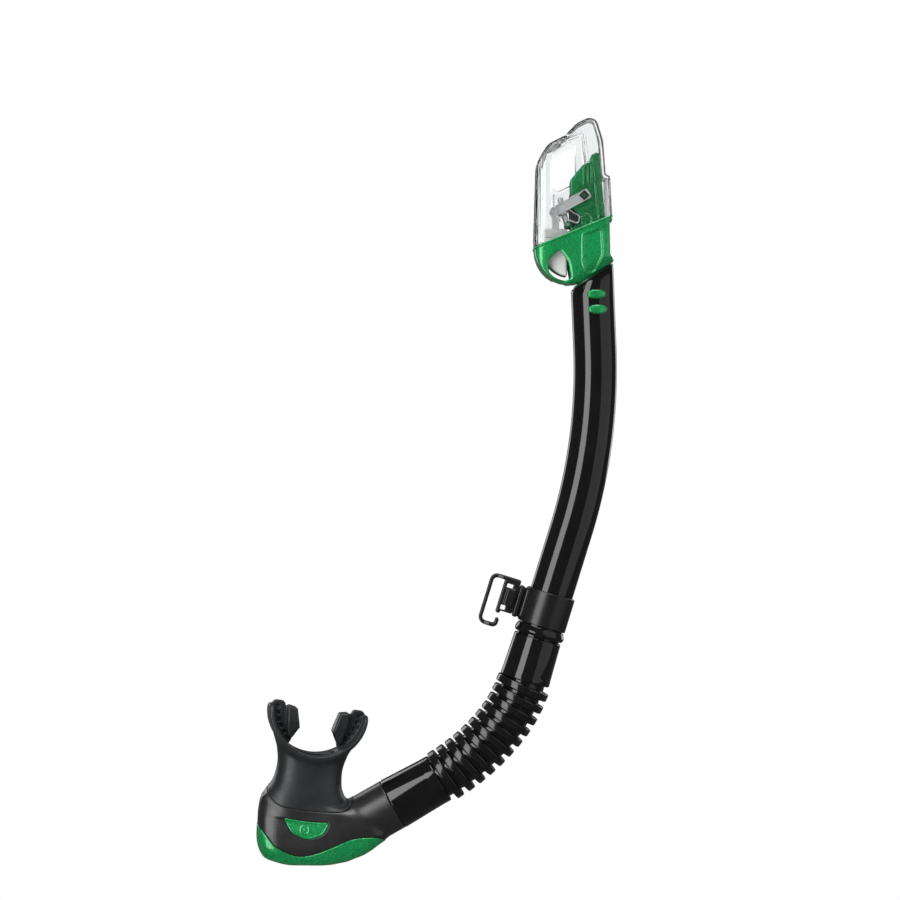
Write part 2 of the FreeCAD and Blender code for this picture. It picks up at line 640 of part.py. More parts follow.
def pillar(shrink):
    wire = rounded(PILLAR_OUTLINE)
    if shrink:
        wire = inset(wire, shrink)
    return slab(wire, PILLAR_HALF_DEPTH - shrink)


def port(depth, grow=0.0):
    """The air inlet through the pillar's -X face, as a rounded column along X."""
    height, width = 13.0 + 2 * grow, 12.0 + 2 * grow
    middle = SHUTTER_HINGE[1] + 9.4
    box = Part.makeBox(depth, width, height, V(43.3 - depth / 2, -width / 2, middle - height / 2))
    return box.makeFillet(3.0 + grow, [edge for edge in box.Edges if abs(edge.Length - depth) < 1e-6])


def spigot_oval(shrink, low, high):
    """Oval column on the upper barrel's line, in dry-top coordinates."""
    column = oval_column(BARREL_A - BARREL_WALL - shrink, BARREL_B - BARREL_WALL - shrink, low, high)
    return stand(column, BEND_END - TOP_ORIGIN, BARREL_TOP_LINE)


def spigot_reach():
    """The stretch where the spigot may stand out below the base's underside."""
    return Part.makeBox(60, 60, 60, V(30, -30, 150))


def upright_box(x, z, width, height, half_depth, y):
    """Box by its lower left corner in the plane, thick by half_depth each side of y."""
    return Part.makeBox(width, 2 * half_depth, height, V(x, y - half_depth, z))


def hinge_ear(side):
    """Small bearing beside the inlet that holds one end of the shutter's hinge pin."""
    x, z = SHUTTER_HINGE
    low, high = z - 1.8, z + 1.8
    outline = rounded([(x - 1.6, low, 1.2), (x - 1.6, high, 1.4), (44.0, high, 0), (44.0, low, 0)])
    return slab(outline, 0.8, side * 9.6)


def top_base():
    """Base of the dry top: cup for the float, inlet pillar and the spigot that fits the barrel."""
    envelope = top_envelope()
    shell = envelope.cut(top_envelope(TOP_WALL)).common(rim_side(False))
    column = pillar(0).common(top_envelope(TOP_WALL - 0.4))
    plug = spigot_oval(0.05, 26.0, 56.0).common(spigot_reach())
    body = shell.fuse(column).fuse(plug)
    body = body.cut(pillar(PILLAR_WALL)).cut(spigot_oval(1.5, 20.0, 55.0)).cut(port(8))
    for side in (1, -1):
        for i in range(3):
            rib = upright_box(50.6 + 2.6 * i, 246.0, 1.0, 9.6, 0.5, side * (PILLAR_HALF_DEPTH + 0.2))
            body = body.fuse(rib)
        body = body.cut(slab(rounded(GRIP_RECESS), 0.8, side * TOP_HALF_DEPTH))
        body = body.cut(slab(rounded(FLOAT_WINDOW), 4, side * (TOP_HALF_DEPTH - 1)))
        body = body.cut(pin(*LEVER_PIVOT, 1.5, side * 14 - 6, side * 14 + 6))
        body = body.fuse(hinge_ear(side))
    body = body.cut(pin(*SHUTTER_HINGE, 0.85, -12, 12))
    return in_place(body.removeSplitter())


def top_cover():
    """Clear hood over the mechanism, open at both sides for water and air."""
    hood = top_envelope().cut(top_envelope(COVER_WALL)).common(rim_side(True))
    for side in (1, -1):
        hood = hood.cut(slab(rounded(COVER_OPENING), 4, side * (TOP_HALF_DEPTH - 1)))
    return in_place(hood)


def inlet_seal():
    """Soft frame round the air inlet that the shutter closes on."""
    frame = port(INLET_SEAL_THICKNESS, 1.8).cut(port(3, 0.0))
    frame.translate(V(-INLET_SEAL_THICKNESS / 2, 0, 0))
    return in_place(frame)


def turn_about(shape, point, degrees):
    """Turns a dry-top shape about the Y axis through (x, z); positive lifts its -X end."""
    moved = shape.copy()
    moved.rotate(V(point[0], 0, point[1]), Y_AXIS, degrees)
    return moved


def shutter_local():
    """Shutter standing upright on its hinge, with a trunnion on a strap at each side."""
    x, z = SHUTTER_HINGE
    left, right = x - 0.75, x + 0.75
    foot, top = z - 0.2, z + SHUTTER_HEIGHT
    body = slab(rounded([(left, foot, 0), (left, top, 0.6), (right, top, 0.3), (right, foot, 0)]), 8.3)
    body = body.fuse(pin(x, z, 1.3, -8.6, 8.6)).fuse(pin(x, z, 0.8, -10.3, 10.3))
    for side in (1, -1):
        strap = upright_box(x - 0.75, z + TRUNNION_H - 1.2, 1.5, 2.4, 1.2, side * 9.2)
        trunnion = pin(x, z + TRUNNION_H, 0.8, side * 10.1 - 2.1, side * 10.1 + 2.1)
        body = body.fuse(strap).fuse(trunnion)
    return body.removeSplitter()


def shutter_trunnion(share):
    """Centre of the shutter's trunnions when the lever has moved a share of its travel."""
    lean = math.radians(SHUTTER_LEAN * (1 - share))
    x, z = SHUTTER_HINGE
    return x - TRUNNION_H * math.sin(lean), z + TRUNNION_H * math.cos(lean)


def shutter():
    return in_place(turn_about(shutter_local(), SHUTTER_HINGE, -SHUTTER_LEAN))


def shutter_seal():
    """Soft pad on the shutter's face that meets the inlet seal when it shuts."""
    x, z = SHUTTER_HINGE
    pad = Part.makeBox(PAD_THICKNESS, 14.6, 13.6, V(x + 0.75, -7.3, z + 2.5))
    pad = pad.makeFillet(3.0, [edge for edge in pad.Edges if edge.Length < PAD_THICKNESS + 0.01])
    return in_place(turn_about(pad, SHUTTER_HINGE, -SHUTTER_LEAN))


def arm_outline():
    px, pz = LEVER_PIVOT
    fx, fz = FLOAT_PIN
    line = math.degrees(math.atan2(fz - pz, fx - px))
    along, side = heading(line), heading(line + 90)
    centre = V(px, 0, pz)
    length = math.hypot(fx - px, fz - pz)
    far = length + 2.6
    corners = []
    for reach, width, radius in ((-3.6, 3.0, 1.4), (far, 3.0, 2.6), (far, -2.6, 2.4), (-3.6, -3.0, 1.4)):
        point = centre + along * reach - side * width
        corners.append((point.x, point.z, radius))
    return corners


def cam_hook():
    """Curved band under each arm that carries the cam slot, about the lever's pivot."""
    px, pz = LEVER_PIVOT
    outer = Part.makeCylinder(17.3, 60, V(px, -30, pz), Y_AXIS)
    band = outer.cut(Part.makeCylinder(11.3, 60, V(px, -30, pz), Y_AXIS))
    corners = [V(px, 0, pz), V(px - 22, 0, pz - 10), V(px - 22, 0, pz - 30), V(px + 2.6, 0, pz - 30)]
    return band.common(slab(Part.makePolygon(corners + corners[:1]), 30))


def cam_slot(steps=12):
    """Everything the shutter's trunnions sweep, seen from the lever as it turns."""
    swept = None
    for i in range(steps + 1):
        share = i / steps
        x, z = shutter_trunnion(share)
        column = turn_about(pin(x, z, 1.15, -20, 20), LEVER_PIVOT, -LEVER_TRAVEL * share)
        swept = swept.fuse(column) if swept else column
    return swept


def float_lever():
    """A pair of arms on the pillar's sides, each with a cam slot for the shutter's trunnion."""
    slot = cam_slot()
    arms = []
    for side in (1, -1):
        centre = side * (ARM_INNER + ARM_OUTER) / 2
        half = (ARM_OUTER - ARM_INNER) / 2
        sheet = Part.makeBox(80, 2 * half, 80, V(0, centre - half, 200))
        arm = slab(rounded(arm_outline()), half, centre).fuse(cam_hook().common(sheet))
        arm = arm.cut(slot).cut(pin(*LEVER_PIVOT, 1.56, -20, 20)).cut(pin(*FLOAT_PIN, 0.95, -20, 20))
        arms.append(in_place(largest(arm).removeSplitter()))
    return arms


def lever_pins():
    """Two headed stub pins that carry the lever on the pillar's sides."""
    px, pz = LEVER_PIVOT
    found = []
    for side in (1, -1):
        shaft = pin(px, pz, 1.5, side * 10.625 - 1.925, side * 10.625 + 1.925)
        head = pin(px, pz, 2.5, side * 12.95 - 0.45, side * 12.95 + 0.45)
        cross = upright_box(px - 1.6, pz - 0.35, 3.2, 0.7, 0.5, side * 13.4)
        found.append(in_place(shaft.fuse(head).cut(cross).removeSplitter()))
    return found


def float_cross_pin():
    return in_place(pin(*FLOAT_PIN, 0.95, -13.0, 13.0))


FLOAT_OUTLINE = ((26.8, 188.0, 0), (26.8, 219.0, 2.6), (41.4, 219.0, 2.6), (41.4, 188.0, 0))
FLOAT_PLAN = ((27.0, 10.0, 2.4), (41.2, 10.0, 2.4), (41.2, -10.0, 2.4), (27.0, -10.0, 2.4))
CUP_CENTRE = (43.4, 207.9)  # centre of the cup's round lower corner
FLOAT_ROUND_R = 16.8


def float_body():
    """Buoyant block in the base's cup, with the eye that hangs it from the lever."""
    x, z = CUP_CENTRE
    space = pin(x, z, FLOAT_ROUND_R, -20, 20).fuse(upright_box(x - 30, z, 40, 40, 20, 0))
    from_above = bar(FLOAT_PLAN, 0, 400)
    from_above.rotate(V(0, 0, 0), V(1, 0, 0), 90)
    block = slab(rounded(FLOAT_OUTLINE), 10.5).common(from_above).common(space)
    fx, fz = FLOAT_PIN
    left, right, top = fx - 2, fx + 2, fz + 2
    eye = slab(rounded([(left, 216, 0), (left, top, 1.9), (right, top, 1.9), (right, 216, 0)]), 3.0)
    eye = eye.cut(pin(fx, fz, 1.02, -10, 10))
    return in_place(block.fuse(eye).removeSplitter())


def top_gasket():
    """Thin seal between the dry top's base and the barrel's end."""
    plane = V(22.6, 0, 169.3)
    outer = oval_column(BARREL_A - 0.3, BARREL_B - 0.3, 0, 60)
    outer = stand(outer, BEND_END - TOP_ORIGIN, BARREL_TOP_LINE)
    inner = spigot_oval(0.0, -1, 61)
    layer = Part.makeBox(80, 60, GASKET_THICKNESS, V(0, -30, -GASKET_THICKNESS))
    layer.rotate(V(0, 0, 0), Y_AXIS, -FLOOR_LINE)
    layer.translate(plane)
    return in_place(outer.cut(inner).common(layer))


# ---- Export ---------------------------------------------------------------------------------------------
def write(name, shape):
    """Writes one part as one STEP; a list becomes a group of separate solids."""
    solids = shape if isinstance(shape, list) else shape.Solids
    for solid in solids:
        assert solid.isValid(), name
    group = Part.makeCompound(solids) if len(solids) > 1 else solids[0]
    group.exportStep(f"parts/{name}.step")
    volume = sum(solid.Volume for solid in solids) / 1000
    print(f"{name:20s} solids {len(solids)}  volume {volume:8.3f} cm3")


PARTS = {
    "barrel": barrel, "barrel_inlays": barrel_inlays, "barrel_collar": barrel_collar,
    "keeper": keeper, "strap_clip": strap_clip, "swivel_pin": swivel_pin,
    "upper_cuff": upper_cuff, "corrugated_hose": corrugated_hose, "lower_cuff": lower_cuff,
    "chamber": chamber, "swivel_o_ring": swivel_o_ring, "chamber_badge": chamber_badge,
    "purge_cover": purge_cover, "purge_seat": purge_seat, "purge_valve": purge_valve,
    "mouthpiece": mouthpiece,
    "top_base": top_base, "top_cover": top_cover, "top_gasket": top_gasket, "inlet_seal": inlet_seal,
    "shutter": shutter, "shutter_seal": shutter_seal, "float_lever": float_lever,
    "lever_pins": lever_pins, "float_cross_pin": float_cross_pin, "float": float_body,
}


def main():
    os.makedirs("parts", exist_ok=True)
    for name, make in PARTS.items():
        write(name, make())


main()
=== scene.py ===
"""Looks of the dry-top snorkel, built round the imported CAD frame.

Lengths here are millimetres until a mesh is made.
"""

import json
import math

import bmesh
import bpy
import numpy as np
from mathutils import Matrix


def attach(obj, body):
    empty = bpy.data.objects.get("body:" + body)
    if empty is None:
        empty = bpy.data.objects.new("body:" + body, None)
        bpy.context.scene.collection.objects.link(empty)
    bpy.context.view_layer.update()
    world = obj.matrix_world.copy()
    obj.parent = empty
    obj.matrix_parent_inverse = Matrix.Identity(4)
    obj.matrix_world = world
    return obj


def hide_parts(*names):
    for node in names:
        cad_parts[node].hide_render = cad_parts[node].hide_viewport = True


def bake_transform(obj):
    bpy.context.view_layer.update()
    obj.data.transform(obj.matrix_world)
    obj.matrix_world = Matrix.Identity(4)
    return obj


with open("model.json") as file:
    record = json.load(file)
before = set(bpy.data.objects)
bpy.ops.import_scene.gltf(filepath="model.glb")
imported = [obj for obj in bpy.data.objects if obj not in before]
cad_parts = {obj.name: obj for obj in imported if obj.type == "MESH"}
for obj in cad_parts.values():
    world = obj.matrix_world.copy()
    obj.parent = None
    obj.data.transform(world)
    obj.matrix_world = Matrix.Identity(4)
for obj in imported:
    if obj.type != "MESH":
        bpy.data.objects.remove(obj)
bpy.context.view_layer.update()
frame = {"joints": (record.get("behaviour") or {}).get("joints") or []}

MM = 0.001

# ---- Places taken from the frame ----
JOINTS = {joint["name"]: joint for joint in frame["joints"]}


def joint_point(name):
    """A joint's place in the plane of the snorkel, as (x, z) in millimetres."""
    x, _, z = JOINTS[name]["pos_m"]
    return np.array([x, z]) / MM


def heading(angle):
    """Unit vector (x, z) in the plane of the snorkel, at an angle above +X in degrees."""
    return np.array([math.cos(math.radians(angle)), math.sin(math.radians(angle))])


def across(angle):
    """Unit vector a quarter turn clockwise from heading(angle)."""
    return heading(angle - 90)


def line_angle(name):
    x, _, z = JOINTS[name]["axis"]
    return math.degrees(math.atan2(z, x))


# ---- Driving dimensions, the same as the CAD part's ----
BARREL_LINE = line_angle("keeper_slide")
BARREL_TOP_LINE = 92.3
BARREL_BEND_R = 320.0
BARREL_LOWER_STRAIGHT = 66.0
BARREL_A, BARREL_B, BARREL_WALL = 12.75, 11.2, 1.5
BARREL_SOCKET = 18.0
UPPER_CUFF_LENGTH = 26.2
LOWER_CUFF_LENGTH = 31.2
CUFF_R = 14.7
PIPE_LINE = line_angle("chamber_swivel")
BEND_SPLIT_LINE = 51.0
HOSE_BEND_UPPER_R, HOSE_BEND_LOWER_R = 81.5, 125.0
HOSE_BORE_R, HOSE_ROOT_R, HOSE_RING_R = 10.6, 12.2, 16.1
HOSE_RINGS, HOSE_RING_HALF, FIRST_RING_S = 11, 2.4, 4.3
RING_LINE_FIRST, RING_LINE_LAST = 65.0, 35.5
SLOT_R, SLOT_Z = -31.7, 13.8
SLOT_HALF_WIDTH, SLOT_HALF_HEIGHT = 3.2, 13.2
BLOCK_FACE_R, SWIVEL_Z = -18.6, 17.6
TOP_ANCHOR = (57.85, 149.8)      # the barrel's upper bend end, in the dry top's own coordinates

UP, OUT = heading(BARREL_LINE), across(BARREL_LINE)
JOINT = -(OUT * SLOT_R + UP * SLOT_Z)
BEND_START = JOINT + UP * BARREL_LOWER_STRAIGHT
BEND_CENTRE = BEND_START - OUT * BARREL_BEND_R
BEND_END = BEND_CENTRE + across(BARREL_TOP_LINE) * BARREL_BEND_R
TOP_ORIGIN = BEND_END - np.array(TOP_ANCHOR)
CUFF_END = JOINT - UP * UPPER_CUFF_LENGTH
HOSE_CENTRE_UPPER = CUFF_END - OUT * HOSE_BEND_UPPER_R
HOSE_MIDDLE = HOSE_CENTRE_UPPER + across(BEND_SPLIT_LINE) * HOSE_BEND_UPPER_R
HOSE_CENTRE_LOWER = HOSE_MIDDLE - across(BEND_SPLIT_LINE) * HOSE_BEND_LOWER_R
HOSE_END = HOSE_CENTRE_LOWER + across(PIPE_LINE) * HOSE_BEND_LOWER_R
SEAM = joint_point("chamber_swivel")
MOUTH_LEAN, MOUTH_TURN = 8.5, 9.5
MOUTH_ORIGIN = SEAM + np.array([-51.8, 3.3])
FLOOR_LINE, RIM_LINE = 33.4, 22.4      # slopes of the dry top's underside and of its rim
FLOOR_POINT, RIM_POINT = (22.6, 169.3), (22.6, 208.6)


def line_side(x, z, point, line):
    """Distance above a line through a point at an angle, in the plane of the snorkel."""
    angle = math.radians(line)
    return (z - point[1]) * math.cos(angle) - (x - point[0]) * math.sin(angle)


def above_floor(x, z):
    """Distance above the dry top's slanted underside."""
    return line_side(x, z, FLOOR_POINT, FLOOR_LINE)


# ---- Frames of reference: each turns local (x, y, z) points into the row frame ----
def placed(points, origin, angle):
    """Local points, with +Z along heading(angle) from origin."""
    x, y, z = np.asarray(points, float).T
    right, along = across(angle), heading(angle)
    return np.stack([origin[0] + x * right[0] + z * along[0], y,
                     origin[1] + x * right[1] + z * along[1]], axis=1)


def on_barrel(points):
    return placed(points, JOINT, BARREL_LINE)


def on_pipe(points):
    return placed(points, SEAM, PIPE_LINE)


def on_seam(points):
    return np.asarray(points, float) + np.array([SEAM[0], 0, SEAM[1]])


def on_top(points):
    return np.asarray(points, float) + np.array([TOP_ORIGIN[0], 0, TOP_ORIGIN[1]])


# ---- Mesh making ----
def put(name, data):
    """A new object, linked into the scene."""
    thing = bpy.data.objects.new(name, data)
    bpy.context.scene.collection.objects.link(thing)
    return thing


def make_piece(name, shape, slot, body, node, finish=None):
    """A smooth-shaded mesh of (points, faces) in the row frame, riding on a body in place of a CAD node."""
    points, faces = shape
    mesh = bpy.data.meshes.new(name)
    mesh.from_pydata((np.asarray(points) * MM).tolist(), [], [list(map(int, face)) for face in faces])
    mesh.validate()
    mesh.update()
    solid = bmesh.new()
    solid.from_mesh(mesh)
    if solid.calc_volume(signed=True) < 0:
        mesh.flip_normals()
    solid.free()
    piece = put(name, mesh)
    mesh.materials.append(FINISHES[finish or slot])
    mesh.polygons.foreach_set("use_smooth", [True] * len(mesh.polygons))
    if body:
        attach(piece, body)
    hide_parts(node)
    return piece


def mould(name, place, field, low, high, cell, slot, body, node, finish=None):
    """A piece made from a distance field inside the box from low to high."""
    points, faces = surface(field, low, high, cell)
    make_piece(name, (place(points), faces), slot, body, node, finish)


def turn_up(name, place, corners, steps, slot, body, node, sides=96):
    """A round piece from a closed outline of (radius, z, corner radius) corners."""
    points, faces = lathe(rounded_profile(corners, steps), sides)
    make_piece(name, (place(points), faces), slot, body, node)


def grid_faces(rows, columns, closed_rows=False):
    """Quads over a grid of points whose columns go round."""
    faces = []
    for i in range(rows if closed_rows else rows - 1):
        for j in range(columns):
            a, b = i * columns + j, i * columns + (j + 1) % columns
            c, d = ((i + 1) % rows) * columns + (j + 1) % columns, ((i + 1) % rows) * columns + j
            faces.append((a, b, c, d))
    return faces


def rounded_profile(corners, steps=7):
    """Points of a closed outline through (a, b, radius) corners, with each corner an arc."""
    count = len(corners)
    points = []
    for i in range(count):
        corner = np.array(corners[i][:2], float)
        radius = corners[i][2]
        back = np.array(corners[i - 1][:2], float) - corner
        ahead = np.array(corners[(i + 1) % count][:2], float) - corner
        back, ahead = back / np.linalg.norm(back), ahead / np.linalg.norm(ahead)
        if radius <= 0:
            points.append(corner)
            continue
        half = math.acos(np.clip(back @ ahead, -1, 1)) / 2
        reach = radius / math.tan(half)
        centre = corner + (back + ahead) / np.linalg.norm(back + ahead) * radius / math.sin(half)
        start, end = corner + back * reach - centre, corner + ahead * reach - centre
        first = math.atan2(start[1], start[0])
        turn = (math.atan2(end[1], end[0]) - first + math.pi) % (2 * math.pi) - math.pi
        for k in range(steps + 1):
            angle = first + turn * k / steps
            points.append(centre + radius * np.array([math.cos(angle), math.sin(angle)]))
    return np.array(points)


def circle(sides):
    """Angles of evenly spaced points round a circle."""
    return np.linspace(0, 2 * math.pi, sides, endpoint=False)


def loft(rings):
    """Closed surface over rings of equally many points, the last joined to the first."""
    return np.concatenate(rings), grid_faces(len(rings), len(rings[0]), closed_rows=True)


def lathe(profile, sides=96):
    """Closed surface of revolution about +Z from a closed (radius, z) outline."""
    turn = circle(sides)
    return loft([np.stack([r * np.cos(turn), r * np.sin(turn), np.full(sides, z)], axis=1)
                 for r, z in profile])


def oval_ring(a, b, centre, line, sides=96):
    """Points of an oval round a line through a centre; a lies in the plane of the snorkel."""
    turn = circle(sides)
    return placed(np.stack([a * np.cos(turn), b * np.sin(turn), np.zeros(sides)], axis=1), centre, line)


# ---- Distance fields: shapes as functions of x, y, z, negative inside ----
def outline_field(corners, steps=7):
    """Signed distance to a closed 2-D outline of (a, b, radius) corners."""
    points = rounded_profile(corners, steps)
    starts, ends = points, np.roll(points, -1, axis=0)

    def field(a, b):
        a, b = np.broadcast_arrays(a, b)
        shape = a.shape
        a, b = a.ravel(), b.ravel()
        nearest = np.full(a.size, np.inf)
        inside = np.zeros(a.size, bool)
        for (x0, y0), (x1, y1) in zip(starts, ends):
            dx, dy = x1 - x0, y1 - y0
            share = np.clip(((a - x0) * dx + (b - y0) * dy) / (dx * dx + dy * dy), 0, 1)
            nearest = np.minimum(nearest, (a - x0 - share * dx) ** 2 + (b - y0 - share * dy) ** 2)
            if dy != 0:
                crosses = ((y0 > b) != (y1 > b)) & (a < (b - y0) * dx / dy + x0)
                inside ^= crosses
        distance = np.sqrt(nearest)
        return np.where(inside, -distance, distance).reshape(shape)

    return field


def away(a, b, point=(0, 0)):
    """Distance of (a, b) from a point."""
    return np.sqrt((a - point[0]) ** 2 + (b - point[1]) ** 2)


def both(a, b, radius=0.0):
    """Where two fields overlap, with the edge rounded to a radius."""
    if radius <= 0:
        return np.maximum(a, b)
    round_edge = away(np.maximum(a + radius, 0), np.maximum(b + radius, 0)) - radius
    return np.where((a > -radius) & (b > -radius), round_edge, np.maximum(a, b))


def either(a, b, radius=0.0):
    """Two fields joined, with the inner corner filled to a radius."""
    return -both(-a, -b, radius)


def minus(a, b, radius=0.0):
    return both(a, -b, radius)


def melt(a, b, reach):
    """Two fields joined by a soft, wide fillet."""
    share = np.clip(0.5 + 0.5 * (b - a) / reach, 0, 1)
    return b + (a - b) * share - reach * share * (1 - share)


def slab(outline, y, half, radius):
    return both(outline, np.abs(y) - half, radius)


def ball_box(x, y, z, half, radius):
    """A box with rounded edges, centred at the origin."""
    qx = np.abs(x) - half[0] + radius
    qy = np.abs(y) - half[1] + radius
    qz = np.abs(z) - half[2] + radius
    outside = np.sqrt(np.maximum(qx, 0) ** 2 + np.maximum(qy, 0) ** 2 + np.maximum(qz, 0) ** 2)
    return outside + np.minimum(np.maximum(qx, np.maximum(qy, qz)), 0) - radius


def oval(a, b, half_a, half_b, power=2.0):
    """Distance-like field of an oval with half sizes half_a and half_b; a higher power is squarer."""
    a, b = np.abs(a), np.abs(b)
    reach = ((a / half_a) ** power + (b / half_b) ** power) ** (1 / power)
    reach = np.maximum(reach, 1e-6)
    slope_a = (a / half_a) ** (power - 1) / half_a
    slope_b = (b / half_b) ** (power - 1) / half_b
    slope = away(slope_a, slope_b) * reach ** (1 - power)
    return (reach - 1) / np.maximum(slope, 1e-4)


def hermite(values, slopes, i, u, width=1.0):
    """Smooth curve between the knots i and i + 1, at a share u of the way and with a gap of width."""
    rise = (2 * u ** 3 - 3 * u ** 2 + 1) * values[i] + (3 * u ** 2 - 2 * u ** 3) * values[i + 1]
    return rise + width * ((u ** 3 - 2 * u ** 2 + u) * slopes[i] + (u ** 3 - u ** 2) * slopes[i + 1])


def smooth_curve(knots, values):
    """A smooth function of one variable through (knot, value) pairs, level beyond the ends."""
    knots, values = np.array(knots, float), np.array(values, float)
    slopes = np.gradient(values, knots)
    slopes[0] = slopes[-1] = 0

    def curve(t):
        t = np.clip(t, knots[0], knots[-1])
        i = np.clip(np.searchsorted(knots, t) - 1, 0, len(knots) - 2)
        width = knots[i + 1] - knots[i]
        return hermite(values, slopes, i, (t - knots[i]) / width, width)

    return curve


def curved_line(points, steps=8):
    """More points along a smooth line through the given (a, b) points, as corners with no radius."""
    places = np.arange(len(points))
    fine = np.linspace(0, len(points) - 1, (len(points) - 1) * steps + 1)
    i = np.clip(fine.astype(int), 0, len(points) - 2)
    a, b = (hermite(column, np.gradient(column, places), i, fine - i) for column in np.array(points, float).T)
    return [(*pair, 0) for pair in zip(a, b)]


CELL_EDGES = [
    (start, axis)
    for axis in range(3)
    for start in np.ndindex(2, 2, 2)
    if start[axis] == 0
]


def surface(field, low, high, cell, settle=3):
    """Quad mesh of field = 0 inside a box, by surface nets, settled onto the exact surface."""
    low, high = np.array(low, float), np.array(high, float)
    counts = np.ceil((high - low) / cell).astype(int) + 1
    x, y, z = (low[i] + cell * np.arange(counts[i]) for i in range(3))
    values = field(x[:, None, None], y[None, :, None], z[None, None, :])
    values = np.broadcast_to(values, counts).astype(np.float32)
    inside = values < 0
    cells = counts - 1
    total = np.zeros((*cells, 3), np.float32)
    hits = np.zeros(cells, np.uint8)
    for start, axis in CELL_EDGES:
        end = list(start)
        end[axis] = 1
        here = tuple(slice(s, s + n) for s, n in zip(start, cells))
        there = tuple(slice(e, e + n) for e, n in zip(end, cells))
        crossed = inside[here] != inside[there]
        a, b = values[here][crossed], values[there][crossed]
        place = np.tile(np.array(start, np.float32), (a.size, 1))
        place[:, axis] += a / (a - b)
        total[crossed] += place
        hits[crossed] += 1
    active = hits > 0
    index = np.full(cells, -1)
    index[active] = np.arange(active.sum())
    points = low + cell * (np.argwhere(active) + total[active] / hits[active][:, None])
    faces = []
    for axis in range(3):
        u, v = (axis + 1) % 3, (axis + 2) % 3
        here, there = [slice(None)] * 3, [slice(None)] * 3
        here[axis], there[axis] = slice(0, -1), slice(1, None)
        first, second = inside[tuple(here)], inside[tuple(there)]
        edges = np.argwhere(first != second)
        keep = (edges[:, u] > 0) & (edges[:, v] > 0) & (edges[:, u] < cells[u]) & (edges[:, v] < cells[v])
        edges = edges[keep]
        quad = []
        for du, dv in ((-1, -1), (0, -1), (0, 0), (-1, 0)):
            corner = edges.copy()
            corner[:, u] += du
            corner[:, v] += dv
            quad.append(index[tuple(corner.T)])
        quad = np.stack(quad, axis=1)
        outward = first[tuple(edges.T)]
        quad[~outward] = quad[~outward][:, ::-1]
        faces.append(quad)
    faces = np.concatenate(faces)
    step = cell * 0.05
    for _ in range(settle):
        value = field(*points.T)
        slope = np.stack([
            (field(*(points + offset).T) - field(*(points - offset).T)) / (2 * step)
            for offset in np.eye(3) * step
        ], axis=1)
        size = np.maximum((slope ** 2).sum(axis=1), 0.05)
        move = -slope * (value / size)[:, None]
        length = np.sqrt((move ** 2).sum(axis=1))[:, None]
        points = points + move * np.minimum(1, 0.5 * cell / np.maximum(length, 1e-9))
    return points, faces


# ---- Materials ----
class Nodes:
    """A small builder for a node material."""

    def __init__(self, name):
        self.material = bpy.data.materials.new(name)
        self.material.use_nodes = True
        self.tree = self.material.node_tree
        self.shader = self.tree.nodes["Principled BSDF"]
        self.place = self.tree.nodes.new("ShaderNodeTexCoord").outputs["Object"]

    def add(self, kind, **values):
        node = self.tree.nodes.new("ShaderNode" + kind)
        for key, value in values.items():
            if key in node.inputs:
                node.inputs[key].default_value = value
            else:
                setattr(node, key, value)
        return node

    def link(self, output, socket):
        self.tree.links.new(output, socket)

    def feed(self, name, output):
        self.link(output, self.shader.inputs[name])

    def noise(self, scale, detail=3.0, roughness=0.5):
        """Noise whose scale is in features per metre."""
        node = self.add("TexNoise", Scale=scale, Detail=detail, Roughness=roughness)
        self.link(self.place, node.inputs["Vector"])
        return node.outputs["Fac"]

    def cells(self, scale):
        node = self.add("TexVoronoi", Scale=scale)
        self.link(self.place, node.inputs["Vector"])
        return node

    def ramp(self, source, low, high, start=0.3, end=0.7):
        """Colours or greys between two stops of a 0-1 source."""
        node = self.tree.nodes.new("ShaderNodeValToRGB")
        stops = node.color_ramp.elements
        stops[0].position, stops[1].position = start, end
        stops[0].color = (*low, 1) if isinstance(low, tuple) else (low, low, low, 1)
        stops[1].color = (*high, 1) if isinstance(high, tuple) else (high, high, high, 1)
        self.link(source, node.inputs["Fac"])
        return node.outputs["Color"]

    def bump(self, source, depth_mm, strength=1.0, after=None):
        node = self.add("Bump", Strength=strength, Distance=depth_mm * MM)
        self.link(source, node.inputs["Height"])
        if after is not None:
            self.link(after, node.inputs["Normal"])
        return node.outputs["Normal"]

    def set(self, **values):
        for key, value in values.items():
            self.shader.inputs[key.replace("_", " ")].default_value = value
        return self


def plastic(name, dark, light, smooth, rough, grain=0.0, grain_scale=3000, wave=0.0, specular=0.5):
    """Moulded plastic: a little colour variation, uneven gloss, fine grain and slow mould waviness."""
    nodes = Nodes(name)
    nodes.feed("Base Color", nodes.ramp(nodes.noise(60, 4), dark, light))
    nodes.feed("Roughness", nodes.ramp(nodes.noise(140, 5, 0.6), smooth, rough))
    normal = None
    if grain:
        normal = nodes.bump(nodes.noise(grain_scale, 2), grain)
    if wave:
        normal = nodes.bump(nodes.noise(45, 1), wave, after=normal)
    if normal is not None:
        nodes.feed("Normal", normal)
    nodes.set(Specular_IOR_Level=specular)
    return nodes.material


def flake_green():
    """Metallic green plastic: flakes that catch the light under a clear gloss."""
    nodes = Nodes("metallic_green")
    flakes = nodes.cells(1900)
    tint = nodes.ramp(flakes.outputs["Color"], (0.0, 0.17, 0.042), (0.004, 0.46, 0.118), 0.15, 0.9)
    broad = nodes.ramp(nodes.noise(50, 3), 0.86, 1.0)
    mix = nodes.add("Mix", data_type="RGBA", blend_type="MULTIPLY")
    mix.inputs["Factor"].default_value = 1.0
    nodes.link(tint, mix.inputs[6])
    nodes.link(broad, mix.inputs[7])
    nodes.feed("Base Color", mix.outputs[2])
    nodes.feed("Roughness", nodes.ramp(flakes.outputs["Distance"], 0.26, 0.42))
    nodes.feed("Normal", nodes.bump(flakes.outputs["Distance"], 0.02, 0.35))
    nodes.set(Metallic=0.35, Coat_Weight=0.6, Coat_Roughness=0.05)
    return nodes.material


